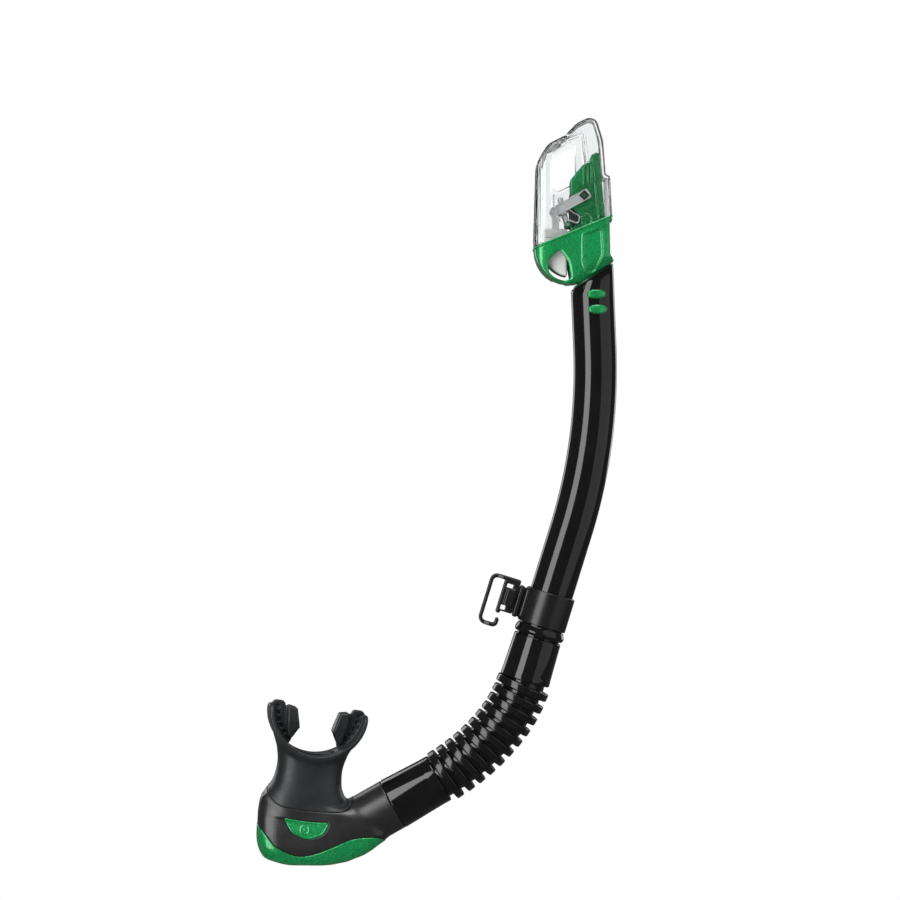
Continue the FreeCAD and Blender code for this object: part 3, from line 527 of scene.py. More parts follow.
def clear_polycarbonate():
    """Clear polished plastic, a trace grey, with faint flow marks."""
    nodes = Nodes("clear_polycarbonate")
    tint = nodes.ramp(nodes.noise(70, 3), (0.93, 0.95, 0.95), (0.98, 0.99, 0.99))
    nodes.feed("Base Color", tint)
    nodes.feed("Roughness", nodes.ramp(nodes.noise(200, 4), 0.0, 0.03))
    nodes.feed("Normal", nodes.bump(nodes.noise(40, 1), 0.05, 0.6))
    nodes.set(Transmission_Weight=1.0, IOR=1.45)
    return nodes.material


def silicone():
    """Dark matt silicone of the mouthpiece, with a dusty bloom."""
    nodes = Nodes("mouthpiece_silicone")
    tint = nodes.ramp(nodes.noise(90, 5), (0.009, 0.0105, 0.0115), (0.015, 0.017, 0.0185))
    nodes.feed("Base Color", tint)
    nodes.feed("Roughness", nodes.ramp(nodes.noise(220, 5, 0.65), 0.36, 0.46))
    normal = nodes.bump(nodes.noise(2600, 2), 0.012)
    nodes.feed("Normal", nodes.bump(nodes.noise(70, 2), 0.10, after=normal))
    nodes.set(Sheen_Weight=0.03, Sheen_Roughness=0.5, Specular_IOR_Level=0.45)
    return nodes.material


FINISHES = {                            # by slot: two colours, then the smoothest and roughest gloss
    "black_gloss": plastic("black_gloss_plastic", (0.0035, 0.0034, 0.0036), (0.006, 0.0056, 0.006),
                           0.05, 0.10, wave=0.02),
    "black_satin": plastic("black_satin_plastic", (0.0055, 0.0055, 0.0056), (0.009, 0.009, 0.009),
                           0.24, 0.32, grain=0.006),
    "hose_black": plastic("hose_rubber", (0.004, 0.004, 0.0042), (0.007, 0.0068, 0.007),
                          0.10, 0.18, grain=0.003),
    "chamber_grey": plastic("chamber_satin_grey", (0.0125, 0.012, 0.0128), (0.0175, 0.0165, 0.0175),
                            0.27, 0.36, grain=0.008, grain_scale=2200, specular=0.6),
    "lever_grey": plastic("lever_grey_plastic", (0.60, 0.62, 0.62), (0.70, 0.72, 0.72),
                          0.18, 0.28, grain=0.004),
    "float_white": plastic("float_white_plastic", (0.72, 0.73, 0.72), (0.80, 0.81, 0.80),
                           0.30, 0.42, grain=0.006),
    "seal_black": plastic("seal_rubber", (0.010, 0.010, 0.010), (0.016, 0.016, 0.016), 0.45, 0.6, grain=0.01),
    "valve_silicone": plastic("valve_silicone", (0.42, 0.44, 0.44), (0.50, 0.52, 0.52),
                              0.3, 0.4, grain=0.006),
    "green_metallic": flake_green(),
    "clear_plastic": clear_polycarbonate(),
    "mouth_silicone": silicone(),
}


# ---- Barrel, collar and cuffs ----
def barrel_frames(below, above, steps=60):
    """(centre, line angle) pairs along the barrel: lower straight, bend, upper straight."""
    frames = [(JOINT + UP * s, BARREL_LINE) for s in np.linspace(-below, BARREL_LOWER_STRAIGHT, 14)]
    for line in np.linspace(BARREL_LINE, BARREL_TOP_LINE, steps)[1:]:
        frames.append((BEND_CENTRE + across(line) * BARREL_BEND_R, line))
    top = heading(BARREL_TOP_LINE)
    return frames + [(BEND_END + top * s, BARREL_TOP_LINE) for s in np.linspace(0, above, 8)[1:]]


def slide_to_floor(points, drop):
    """Moves points along the upper barrel's line until they lie drop below the dry top's underside."""
    along = heading(BARREL_TOP_LINE)
    local = points - np.array([TOP_ORIGIN[0], 0, TOP_ORIGIN[1]])
    height = above_floor(local[:, 0], local[:, 2])
    rise = (-drop - height) / line_side(along[0], along[1], (0, 0), FLOOR_LINE)
    return points + rise[:, None] * np.array([along[0], 0, along[1]])


def build_barrel():
    """Oval tube with a rounded foot, cut at a slant where it meets the dry top."""
    stations = barrel_frames(BARREL_SOCKET - 0.2, 31.0)
    stations.insert(1, (stations[0][0] + UP * 0.5, BARREL_LINE))

    def ring(station, depth):
        return oval_ring(BARREL_A - depth, BARREL_B - depth, *station)

    lip, foot, top = 0.5, stations[0], stations[-1]
    rings = [ring(foot, lip)] + [ring(station, 0) for station in stations[1:]]
    for depth, drop in ((0, 1.1), (0.35, 0.72), (BARREL_WALL, 0.72)):
        rings.append(slide_to_floor(ring(top, depth), drop))
    rings += [ring(station, BARREL_WALL) for station in reversed(stations[1:])]
    rings.append(ring(foot, BARREL_WALL - lip))
    make_piece("barrel_tube", loft(rings), "black_gloss", "tube", "barrel")


INLAYS = ((58.4, 180.8), (59.1, 171.9))
INLAY_A, INLAY_B, INLAY_HEIGHT = 5.75, 2.7, 0.9


def inlay_field(x, y, z):
    """Two domed ovals let into the front of the barrel, in the dry top's coordinates."""
    side, _ = spigot_local(x, z)
    outline = np.minimum(*(oval(x - cx, z - cz, INLAY_A, INLAY_B, 2.5) for cx, cz in INLAYS))
    body = both(outline, oval(side, y, BARREL_A + INLAY_HEIGHT, BARREL_B + INLAY_HEIGHT), 1.3)
    return both(both(body, -oval(side, y, BARREL_A - 0.5, BARREL_B - 0.5)), y)


def build_inlays():
    mould("barrel_oval_inlays", on_top, inlay_field, (51.5, -12.6, 168.0), (66.0, -5.0, 184.6), 0.18,
          "green_metallic", "tube", "barrel_inlays")


def build_collar_and_cuffs():
    turn_up("barrel_stop_collar", on_barrel, [
        (10.5, 1.0, 0.3), (14.1, 1.0, 0.5), (14.9, 2.5, 0.5), (14.9, 3.4, 0.5), (13.75, 6.4, 0.5),
        (10.5, 6.4, 0.3),
    ], 5, "black_gloss", "tube", "barrel_collar")
    length = UPPER_CUFF_LENGTH
    turn_up("upper_cuff_shell", on_barrel, [
        (11.0, 0.0, 0.3), (CUFF_R - 0.6, 0.0, 0.9), (CUFF_R, -length + 4, 40), (CUFF_R + 0.3, -length, 0.9),
        (9.4, -length, 0.4),
    ], 6, "black_gloss", "tube", "upper_cuff")
    length = LOWER_CUFF_LENGTH
    turn_up("lower_cuff_shell", on_pipe, [
        (12.68, 0.0, 0.2), (15.6, 0.0, 0.7), (14.75, length - 6, 60), (14.75, length, 0.9),
        (10.0, length, 0.4), (10.0, 12.5, 0.2), (12.68, 12.5, 0.2),
    ], 6, "black_gloss", "lower_hose", "lower_cuff")


# ---- Corrugated hose ----
UPPER_ARC = HOSE_BEND_UPPER_R * math.radians(BARREL_LINE - BEND_SPLIT_LINE)
LOWER_ARC = HOSE_BEND_LOWER_R * math.radians(BEND_SPLIT_LINE - PIPE_LINE)


def hose_station(s):
    """(centre, line angle) of the hose at a distance s from the upper cuff."""
    if s <= UPPER_ARC:
        line = BARREL_LINE - math.degrees(s / HOSE_BEND_UPPER_R)
        return HOSE_CENTRE_UPPER + across(line) * HOSE_BEND_UPPER_R, line
    line = BEND_SPLIT_LINE - math.degrees((s - UPPER_ARC) / HOSE_BEND_LOWER_R)
    return HOSE_CENTRE_LOWER + across(line) * HOSE_BEND_LOWER_R, line


def ring_outline():
    """One ring's outside as (distance along, radius) points: root, shoulder, crest, shoulder, root."""
    half, root, crest = HOSE_RING_HALF, HOSE_ROOT_R, HOSE_RING_R
    shoulder, foot, draft, steps = 0.8, 0.3, 0.12, 6
    turns = [0.5 * math.pi * k / steps for k in range(steps + 1)]
    outline = [(-half - foot * (1 - math.sin(t)), root + foot * (1 - math.cos(t))) for t in turns]
    outline += [(-half + draft + shoulder * (1 - math.cos(t)), crest - shoulder * (1 - math.sin(t)))
                for t in turns]
    return outline + [(-u, r) for u, r in reversed(outline)]


def build_hose():
    length, tuck = UPPER_ARC + LOWER_ARC, 0.6
    layers = [(CUFF_END + UP * tuck, BARREL_LINE, HOSE_ROOT_R), (CUFF_END, BARREL_LINE, HOSE_ROOT_R)]
    for share in np.arange(HOSE_RINGS) / (HOSE_RINGS - 1):
        centre, _ = hose_station(FIRST_RING_S + (length - 2 * FIRST_RING_S) * share)
        line = RING_LINE_FIRST + (RING_LINE_LAST - RING_LINE_FIRST) * share
        layers += [(centre - heading(line) * u, line, radius) for u, radius in ring_outline()]
    layers += [(HOSE_END - heading(PIPE_LINE) * u, PIPE_LINE, HOSE_ROOT_R) for u in (0, tuck)]
    layers += [(*hose_station(s), HOSE_BORE_R) for s in np.linspace(length, 0, 36)]
    points, faces = loft([oval_ring(radius, radius, centre, line) for centre, line, radius in layers])
    hose = make_piece("corrugated_hose_tube", (points, [face[::-1] for face in faces]), "hose_black", None,
                      "corrugated_hose")
    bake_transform(hose)


# ---- Keeper, clip and swivel pin, in the barrel's own frame ----
KEEPER_LOW, KEEPER_HIGH = 7.0, 27.4
KEEPER_INNER = (BARREL_A + 0.12, BARREL_B + 0.12)
KEEPER_WALL = 1.5


def keeper_field(x, y, z):
    middle, half = (KEEPER_LOW + KEEPER_HIGH) / 2, (KEEPER_HIGH - KEEPER_LOW) / 2
    band = oval(x, y, KEEPER_INNER[0] + KEEPER_WALL, KEEPER_INNER[1] + KEEPER_WALL + 0.3)
    band = both(band, np.abs(z - middle) - half, 0.6)
    arm = ball_box(x - (BLOCK_FACE_R + 5.6), y, z - middle, (5.6, 5.2, half - 1.6), 1.1)
    face = ball_box(x - (BLOCK_FACE_R + 1.3), y, z - middle, (1.3, 6.6, half - 0.9), 0.7)
    knuckle = both(away(y, z - SWIVEL_Z) - 4.9, np.abs(x - (BLOCK_FACE_R + 2.6)) - 2.6, 0.6)
    body = melt(band, either(either(arm, face, 0.5), knuckle, 0.4), 2.2)
    for side in (-1, 1):
        groove = ball_box(x - (BLOCK_FACE_R + 3.6), y - side * 6.0, z - middle, (0.45, 2.2, half + 2), 0.3)
        body = minus(body, groove, 0.2)
    bore = oval(x, y, *KEEPER_INNER)
    body = minus(body, bore, 0.25)
    socket = both(away(y, z - SWIVEL_Z) - 2.05, x - (BLOCK_FACE_R + 3.1))
    return minus(body, socket, 0.15)


CLIP_BAR, CLIP_HALF_DEPTH = 2.2, 4.2


def clip_corners():
    """The clip's open J round the strap slot, with the plate that it grows from."""
    left, right = SLOT_R - SLOT_HALF_WIDTH, SLOT_R + SLOT_HALF_WIDTH
    top, bottom = SLOT_Z + SLOT_HALF_HEIGHT, SLOT_Z - SLOT_HALF_HEIGHT
    face, t = BLOCK_FACE_R - 0.35, CLIP_BAR
    return [
        (face, top + t, 1.0), (left - t, top + t, 4.4), (left - t, bottom - t, 4.6),
        (right + 3.4, bottom - t, 3.2), (right + 3.4, bottom + 3.6, 1.0), (right + 1.2, bottom + 3.6, 1.0),
        (right + 1.2, bottom, 1.2), (left, bottom, 2.4), (left, top, 2.4), (right, top, 0.6),
        (right, bottom + 6.6, 0.9), (right + 2.6, bottom + 6.6, 0.8), (right + 2.6, bottom + 8.2, 0.5),
        (face, bottom + 8.2, 1.0),
    ]


CLIP_OUTLINE = outline_field(clip_corners())


def clip_field(x, y, z):
    right = SLOT_R + SLOT_HALF_WIDTH
    face = BLOCK_FACE_R - 0.35
    shape = CLIP_OUTLINE(x, z)
    waist = CLIP_HALF_DEPTH - 0.9 * np.clip((right - 1.5 - x) / 3, 0, 1)
    body = both(shape, np.abs(y) - waist, 0.8)
    plate = ball_box(x - (right + face) / 2 - 1.0, y, z - SWIVEL_Z, (2.7, 5.0, 5.4), 0.9)
    body = either(body, plate, 0.5)
    low = ball_box(x - (right + 3.5), y, z - 11.0, (1.5, 20, 1.5), 0.5)
    high = ball_box(x - (right + 4.0), y, z - 24.2, (1.9, 20, 1.3), 0.5)
    body = minus(minus(body, low, 0.25), high, 0.25)
    spoke = away(y, z - SWIVEL_Z)
    body = minus(body, both(spoke - 2.05, -(x - (right + 2.8))), 0.1)
    body = minus(body, both(spoke - 3.3, np.abs(x - (right + 1.0)) - 1.95), 0.2)
    return both(body, x - face, 0.2)


def swivel_pin_field(x, y, z):
    right = SLOT_R + SLOT_HALF_WIDTH
    spoke = away(y, z - SWIVEL_Z)
    middle, half = (right + 2.4 + BLOCK_FACE_R + 2.6) / 2, (BLOCK_FACE_R - right + 0.2) / 2
    shaft = both(spoke - 2.0, np.abs(x - middle) - half)
    head = both(spoke - 3.0, np.abs(x - (right + 2.1)) - 0.75, 0.4)
    return either(shaft, head, 0.1)


def build_keeper():
    mould("keeper_band", on_barrel, keeper_field, (-19.5, -14.2, 6.2), (15.2, 14.2, 28.2), 0.30,
          "black_satin", "keeper", "keeper")
    mould("strap_clip_hook", on_barrel, clip_field, (-38.0, -5.6, -2.6), (-18.2, 5.6, 30.4), 0.26,
          "black_satin", "clip", "strap_clip")
    mould("clip_swivel_pin", on_barrel, swivel_pin_field, (-28.5, -3.6, 13.8), (-15.0, 3.6, 21.4), 0.22,
          "black_satin", "keeper", "swivel_pin")


# ---- Chamber, purge cover, badge and mouthpiece; x and z are from the seam ----
PIPE_R, SPIGOT_R, SPIGOT_LENGTH, CHAMBER_WALL = 15.4, 12.6, 12.0, 2.2
CORD_R, CORD_ALONG = 0.45, 7.9         # the swivel seal's cord, and its place along the spigot
PIPE_ALONG, PIPE_RIGHT = heading(PIPE_LINE), across(PIPE_LINE)
MOUTH_ALONG, MOUTH_RIGHT = heading(90 - MOUTH_LEAN), across(90 - MOUTH_LEAN)
CHAMBER_FRONT = outline_field((
    (-14.0, -6.0, 5), (-2.0, -17.0, 4), (-13.2, -26.9, 40), (-37.0, -37.2, 30), (-62.0, -36.9, 22),
    (-82.4, -27.0, 16), (-80.4, -3.0, 40), (-76.9, 9.6, 3.5), (-30.0, -1.0, 5),
))
CHAMBER_ABOVE = outline_field((
    (-82.6, 20.0, 17), (-36.0, 20.0, 60), (2.0, 13.0, 4), (2.0, -13.0, 4), (-36.0, -20.0, 60),
    (-82.6, -20.0, 17),
), 12)
CHAMBER_END = outline_field((
    (-20.0, -37.4, 15), (-20.0, -13.0, 18), (-14.0, 9.5, 6), (14.0, 9.5, 6), (20.0, -13.0, 18),
    (20.0, -37.4, 15),
), 12)
TRIM_LINE = (
    (-86.0, -3.0), (-80.6, -9.0), (-76.6, -13.2), (-73.0, -17.4), (-67.2, -23.8), (-56.2, -28.6),
    (-46.1, -27.6), (-34.6, -23.3), (-24.5, -19.2), (-14.5, -18.0), (-7.4, -18.8), (-3.0, -21.6),
)
TRIM = outline_field(curved_line(TRIM_LINE) + [(-3.0, -60, 0), (-110, -60, 0), (-110, -3, 0)])
SLEEVE_LINE = (
    (-78.0, 22.0), (-75.6, 15.0), (-73.6, 9.6), (-70.6, 4.3), (-63.4, 0.2), (-46.3, -2.7),
    (-31.8, -3.4), (-26.0, -1.6), (-23.2, 4.0), (-22.0, 12.0),
)
SLEEVE = outline_field(curved_line(SLEEVE_LINE) + [(-22.0, 90, 0), (-78.0, 90, 0)])
NECK_WIDTH = smooth_curve(
    (-8, 0, 3, 6, 9, 13, 18, 22, 26, 33, 40, 46),
    (25.0, 24.6, 23.6, 21.6, 20.2, 19.4, 19.0, 19.3, 20.2, 22.2, 23.4, 24.0),
)
NECK_DEPTH = smooth_curve((-8, 0, 5, 11, 18, 26, 33, 46), (17.0, 16.2, 15.0, 13.2, 12.0, 11.7, 11.9, 12.2))
NECK_SQUARE = 2.7


def mouth_local(x, z, y):
    """Row-frame offsets from the seam, turned into the mouthpiece's own (u, v, m)."""
    dx, dz = x - (MOUTH_ORIGIN - SEAM)[0], z - (MOUTH_ORIGIN - SEAM)[1]
    side = dx * MOUTH_RIGHT[0] + dz * MOUTH_RIGHT[1]
    along = dx * MOUTH_ALONG[0] + dz * MOUTH_ALONG[1]
    c, s = math.cos(math.radians(MOUTH_TURN)), math.sin(math.radians(MOUTH_TURN))
    return side * c + y * s, -side * s + y * c, along


def neck_field(u, v, m):
    return oval(u, v, NECK_WIDTH(m), NECK_DEPTH(m), NECK_SQUARE)


def pipe_local(x, z):
    """Offsets from the seam, turned into (along, side) of the pipe."""
    return x * PIPE_ALONG[0] + z * PIPE_ALONG[1], x * PIPE_RIGHT[0] + z * PIPE_RIGHT[1]


def form_field(x, y, z):
    """The whole outer form of chamber, purge cover, pipe and the neck's root, as one body."""
    body = both(both(CHAMBER_FRONT(x, z), CHAMBER_ABOVE(x, y), 7), CHAMBER_END(y, z), 7)
    along, side = pipe_local(x, z)
    pipe = both(away(side, y) - PIPE_R, -42 - along, 3)
    body = melt(body, pipe, 3.5)
    u, v, m = mouth_local(x, z, y)
    neck = both(neck_field(u, v, m), both(m - 16, -12 - m), 2)
    return melt(body, neck, 2.5)


BADGE = outline_field((
    (-64.3, -5.4, 1.4), (-36.4, -9.3, 1.8), (-40.2, -16.2, 6), (-49.6, -19.2, 7), (-58.6, -15.1, 6),
))
BADGE_MIDDLE, BADGE_BOW, BADGE_RISE = -51.5, 0.8, 0.135
MOTIF_CENTRE = (-51.0, -13.2)


def badge_column(x, z):
    off = x - BADGE_MIDDLE
    bow = BADGE_BOW * (1 - np.clip((off / 12.5) ** 2, 0, 1))
    return both(BADGE(x, z), z + bow + 7.4 + off * BADGE_RISE)


def badge_field(x, y, z):
    form = form_field(x, y, z)
    radius = away(x, z, MOTIF_CENTRE)
    motif = 0.22 * np.exp(-((radius - 2.5) / 0.45) ** 2) + 0.22 * np.exp(-(radius / 0.8) ** 2)
    rim = 0.16 * np.exp(-((badge_column(x, z) + 0.7) / 0.3) ** 2)
    plate = both(badge_column(x, z), form - 0.30 - motif - rim, 0.3)
    return both(both(plate, -form - 1.1), y)


def chamber_field(x, y, z):
    form = form_field(x, y, z)
    along, side = pipe_local(x, z)
    shell = both(both(form, -SLEEVE(x, z), 0.45), -TRIM(x, z) + 0.05, 0.4)
    shell = both(shell, along, 0.6)
    shell = minus(shell, both(badge_column(x, z) - 0.22, both(-form - 1.0, y)), 0.2)
    spoke = away(side, y)
    shell = minus(shell, both(form + CHAMBER_WALL, along + 3))
    half = SPIGOT_LENGTH / 2
    spigot = both(np.abs(spoke - SPIGOT_R + 1.1) - 1.1, np.abs(along - half + 1) - half - 1, 0.3)
    groove = both(np.abs(spoke - SPIGOT_R) - 0.8, np.abs(along - CORD_ALONG) - 0.8)
    return minus(either(shell, minus(spigot, groove), 0.2), both(spoke - SPIGOT_R + 2.2, -6 - along))


EXHAUST_SLOTS = 4


def purge_cover_field(x, y, z):
    form = form_field(x, y, z)
    along, _ = pipe_local(x, z)
    shell = both(form - 0.32, TRIM(x, z) + 0.08, 0.55)
    shell = minus(shell, form + 1.8)
    shell = both(shell, along + 0.4, 0.3)
    for i in range(EXHAUST_SLOTS):
        slot = ball_box(x + 64.3 - 9.0 * i, y - 16, z + 40, (1.7, 9.5, 12), 1.2)
        shell = minus(shell, slot, 0.35)
    return shell


SEAT_X, SEAT_Z, SEAT_THICKNESS, VALVE_R = -53.0, -29.2, 1.8, 12.5


def seat_field(x, y, z):
    form = form_field(x, y, z)
    level = np.abs(z - SEAT_Z - SEAT_THICKNESS / 2) - SEAT_THICKNESS / 2
    spoke = away(x - SEAT_X, y)
    plate = both(both(form + CHAMBER_WALL + 0.02, level, 0.25), 10.0 - spoke, 0.3)
    cross = both(np.minimum(np.abs(x - SEAT_X), np.abs(y)) - 0.8, both(level, spoke - 10.4), 0.2)
    hub = both(spoke - 3.0, level, 0.3)
    seat = either(either(plate, cross, 0.3), hub, 0.4)
    return minus(seat, spoke - 1.35)


def build_chamber():
    low, high = (-84.0, -21.5, -38.5), (14.0, 21.5, 15.5)
    cell = 0.45
    mould("chamber_shell", on_seam, chamber_field, low, high, cell,
          "chamber_grey", "chamber", "chamber")
    mould("purge_cover_shell", on_seam, purge_cover_field, low, (0.0, 21.5, 0.0), cell,
          "green_metallic", "chamber", "purge_cover")
    mould("chamber_badge_plate", on_seam, badge_field, (-66.0, -22.0, -21.0), (-34.6, -14.0, -4.4), 0.16,
          "green_metallic", "chamber", "chamber_badge")
    mould("purge_valve_seat", on_seam, seat_field, (-81.0, -19.0, -30.0), (-20.0, 19.0, -26.6), 0.35,
          "chamber_grey", "chamber", "purge_seat")
    turn_up("purge_valve_mushroom", lambda points: on_seam(points + np.array([SEAT_X, 0, SEAT_Z])), [
        (0.05, 4.6, 0), (0.9, 4.6, 0.3), (1.9, 3.9, 0.3), (1.9, 3.5, 0.1), (1.25, 3.4, 0.1),
        (1.25, -0.05, 0.2), (VALVE_R, -0.05, 0.1), (VALVE_R, -0.6, 0.2), (2.5, -1.3, 0.6), (0.05, -1.3, 0),
    ], 4, "valve_silicone", "purge_valve", "purge_valve", 72)
    middle = SPIGOT_R - 0.42
    points, faces = lathe([(middle + CORD_R * math.cos(t), CORD_ALONG + CORD_R * math.sin(t))
                           for t in circle(16)])
    make_piece("swivel_seal_ring", (on_pipe(points), faces), "seal_black", "chamber", "swivel_o_ring")


# ---- Mouthpiece ----
ARCH_M, ARCH_MIDDLE_R, FLANGE_HALF, FLANGE_HALF_HEIGHT = 53.3, 28.2, 1.0, 13.0
PAD = outline_field((
    (12.0, 36.0, 2), (14.8, 52.2, 1), (19.4, 52.6, 1.2), (20.6, 55.4, 2.2), (26.6, 55.4, 3.0),
    (29.4, 50.0, 2), (29.4, 33.0, 3), (17.0, 27.0, 3),
))
LUG = outline_field((
    (12.6, 52.4, 1.6), (18.8, 53.6, 1.6), (17.9, 45.0, 12), (16.4, 34.6, 1.2), (13.6, 34.6, 1.2),
    (9.8, 41.2, 1.4),
))
PIT_ANGLES, PIT_ARC_R, PIT_R, PIT_DEPTH = (87.0, 77.5, 68.0, 58.5, 49.0), 24.2, 1.2, 1.3


def mouthpiece_field(x, y, z):
    form = form_field(x, y, z)
    u, v, m = mouth_local(x, z, y)
    neck = both(neck_field(u, v, m) - 0.25, 10.0 - m)
    root = both(form - 0.25, both(m - 12.0, SLEEVE(x, z) + 0.07), 0.5)
    spread = away(u, m - ARCH_M)
    along = ARCH_MIDDLE_R * np.arctan2(np.abs(u), ARCH_M - m)
    border = oval(along, v, 44.0, FLANGE_HALF_HEIGHT, 3.2)
    thick = FLANGE_HALF + 0.35 * np.exp(-((border + 0.9) / 0.8) ** 2)
    flange = both(np.abs(spread - ARCH_MIDDLE_R) - thick, border, 0.6)
    neck = both(neck, both(27.8 - spread, m - ARCH_M), 0.5)
    body = both(melt(either(root, neck), flange, 4.0), 26.9 - spread, 0.4)
    side = np.abs(u)
    pad = slab(both(PAD(side, m), spread - 27.8), v, 2.2, 0.6)
    for angle in PIT_ANGLES:
        a, b = PIT_ARC_R * math.sin(math.radians(angle)), ARCH_M - PIT_ARC_R * math.cos(math.radians(angle))
        pit = both(away(side - a, m - b) - PIT_R, 2.2 - PIT_DEPTH - np.abs(v), 0.3)
        pad = minus(pad, pit, 0.35)
    lug = slab(LUG(side, m), v, 6.2 - 0.12 * np.abs(m - 44), 1.3)
    body = either(either(body, pad, 0.8), lug, 0.8)
    bore = oval(u, v, 13.6, 6.2, 2.4)
    wide = both(oval(u, v, 17.7, 9.7), m - 13.0)
    body = minus(body, both(bore, m - 40), 0.8)
    return both(body, -np.minimum(wide, both(form + 2.2, m - 6)))


def build_mouthpiece():
    cell = 0.42
    mould("mouthpiece_moulding", on_seam, mouthpiece_field, (-90.0, -22.0, -8.0), (-8.0, 22.0, 68.0), cell,
          "mouth_silicone", "chamber", "mouthpiece")


# ---- Dry top; x and z are in its own coordinates ----
TOP_FRONT = outline_field((
    (*FLOOR_POINT, 20.8), (69.2, 200.0, 1.0), (66.4, 203.8, 2.0), (66.0, 222.6, 0.8), (67.6, 223.6, 0.6),
    (66.2, 249.4, 1.0), (63.5, 250.4, 0.8), (62.0, 270.5, 14), (57.6, 286.2, 5.0), (47.0, 281.0, 10),
    (39.8, 273.4, 1.2), (29.8, 268.2, 10), (23.2, 257.6, 14), (21.8, 214.0, 30),
), 10)
TOP_ABOVE = outline_field(((19.0, -16.5, 11), (70.0, -16.5, 9), (70.0, 16.5, 9), (19.0, 16.5, 11)), 10)
TOP_SIDE = outline_field((
    (-16.9, 160.0, 0), (-16.9, 262.0, 26), (-9.0, 286.5, 7), (9.0, 286.5, 7), (16.9, 262.0, 26),
    (16.9, 160.0, 0),
), 10)
TOP_WALL = 1.8
PILLAR = outline_field((
    (43.3, 190.0, 0), (43.3, 248.0, 1.5), (50.3, 256.3, 1.5), (54.6, 258.4, 1.0), (55.4, 262.0, 1.0),
    (58.8, 264.6, 1.2), (60.2, 262.0, 1.0), (61.4, 249.0, 2.0), (64.0, 226.0, 1.0), (64.0, 196.0, 0),
))
COVER_OPENING = outline_field((
    (32.6, 238.4, 3.0), (32.6, 262.6, 5.0), (45.6, 270.2, 2.5), (45.6, 245.4, 3.0),
))
FLOAT_WINDOW = outline_field((
    (36.4, 206.6, 1.5), (29.2, 199.2, 5.0), (30.8, 192.6, 6.0), (37.6, 187.4, 2.5), (43.2, 189.8, 1.5),
    (41.6, 199.6, 9.0),
))
GRIP = outline_field((
    (50.5, 215.2, 1.8), (61.2, 219.4, 2.4), (62.0, 203.4, 9.0), (57.0, 193.4, 3.5), (52.4, 193.2, 1.5),
    (50.5, 199.0, 6.0),
))
LEVER_PIVOT, FLOAT_PIN, SHUTTER_HINGE = (51.0, 238.3), (34.6, 229.2), (41.6, 221.6)
PILLAR_BOSS, DARK_DISC_CENTRE, CUP_CENTRE, CUP_R = (52.6, 224.5), (41.6, 225.2), (43.4, 207.9), 16.8
PORT_HALF_DEPTH, PORT_HALF_HEIGHT = 6.0, 6.5
FACE_DEPTH = 8.0                       # beyond this depth a cut belongs to the front or back face
HOOK_R, HOOK_HALF, ARM_DEPTH, TRUNNION_ALONG = 14.35, 2.75, 11.6, 7.0
PILLAR_HALF_DEPTH, SHUTTER_LEAN = 10.4, 15.0
PORT_Z = 231.0


def top_form(x, y, z):
    """Outer form of base and cover together."""
    side = both(np.abs(y) - 16.5, -above_floor(x, z), 9.0)
    body = both(both(TOP_FRONT(x, z), TOP_ABOVE(x, y), 1.5), side, 1.5)
    return both(body, TOP_SIDE(y, z), 1.5)


def rim_height(x, z):
    return line_side(x, z, RIM_POINT, RIM_LINE)


def spigot_local(x, z):
    dx, dz = x - TOP_ANCHOR[0], z - TOP_ANCHOR[1]
    along, right = heading(BARREL_TOP_LINE), across(BARREL_TOP_LINE)
    return dx * right[0] + dz * right[1], dx * along[0] + dz * along[1]


def pillar_field(x, y, z):
    """Inlet pillar: flat sides that fall away past a raised ridge, with short ribs at the top."""
    outline, side = PILLAR(x, z), np.abs(y) - PILLAR_HALF_DEPTH
    ridge = x - 57.4 + 0.1125 * (z - 250.0)
    body = both(both(outline, side, 0.7), (side + 0.5 * ridge) / 1.118, 0.4)
    body = either(body, both(away(ridge, side) - 0.7, np.abs(z - 240) - 22), 0.3)
    for i in range(3):
        rib = ball_box(x - 51.1 - 2.4 * i, side, z - 250.4, (0.6, 0.95, 5.4), 0.4)
        body = either(body, both(rib, outline + 0.2), 0.25)
    boss = np.abs(away(x, z, PILLAR_BOSS) - 3.1) - 0.3
    body = either(body, both(boss, side - 0.3, 0.2), 0.2)
    return minus(body, both(outline + TOP_WALL, side + TOP_WALL + 0.6 * both(ridge, 0)))


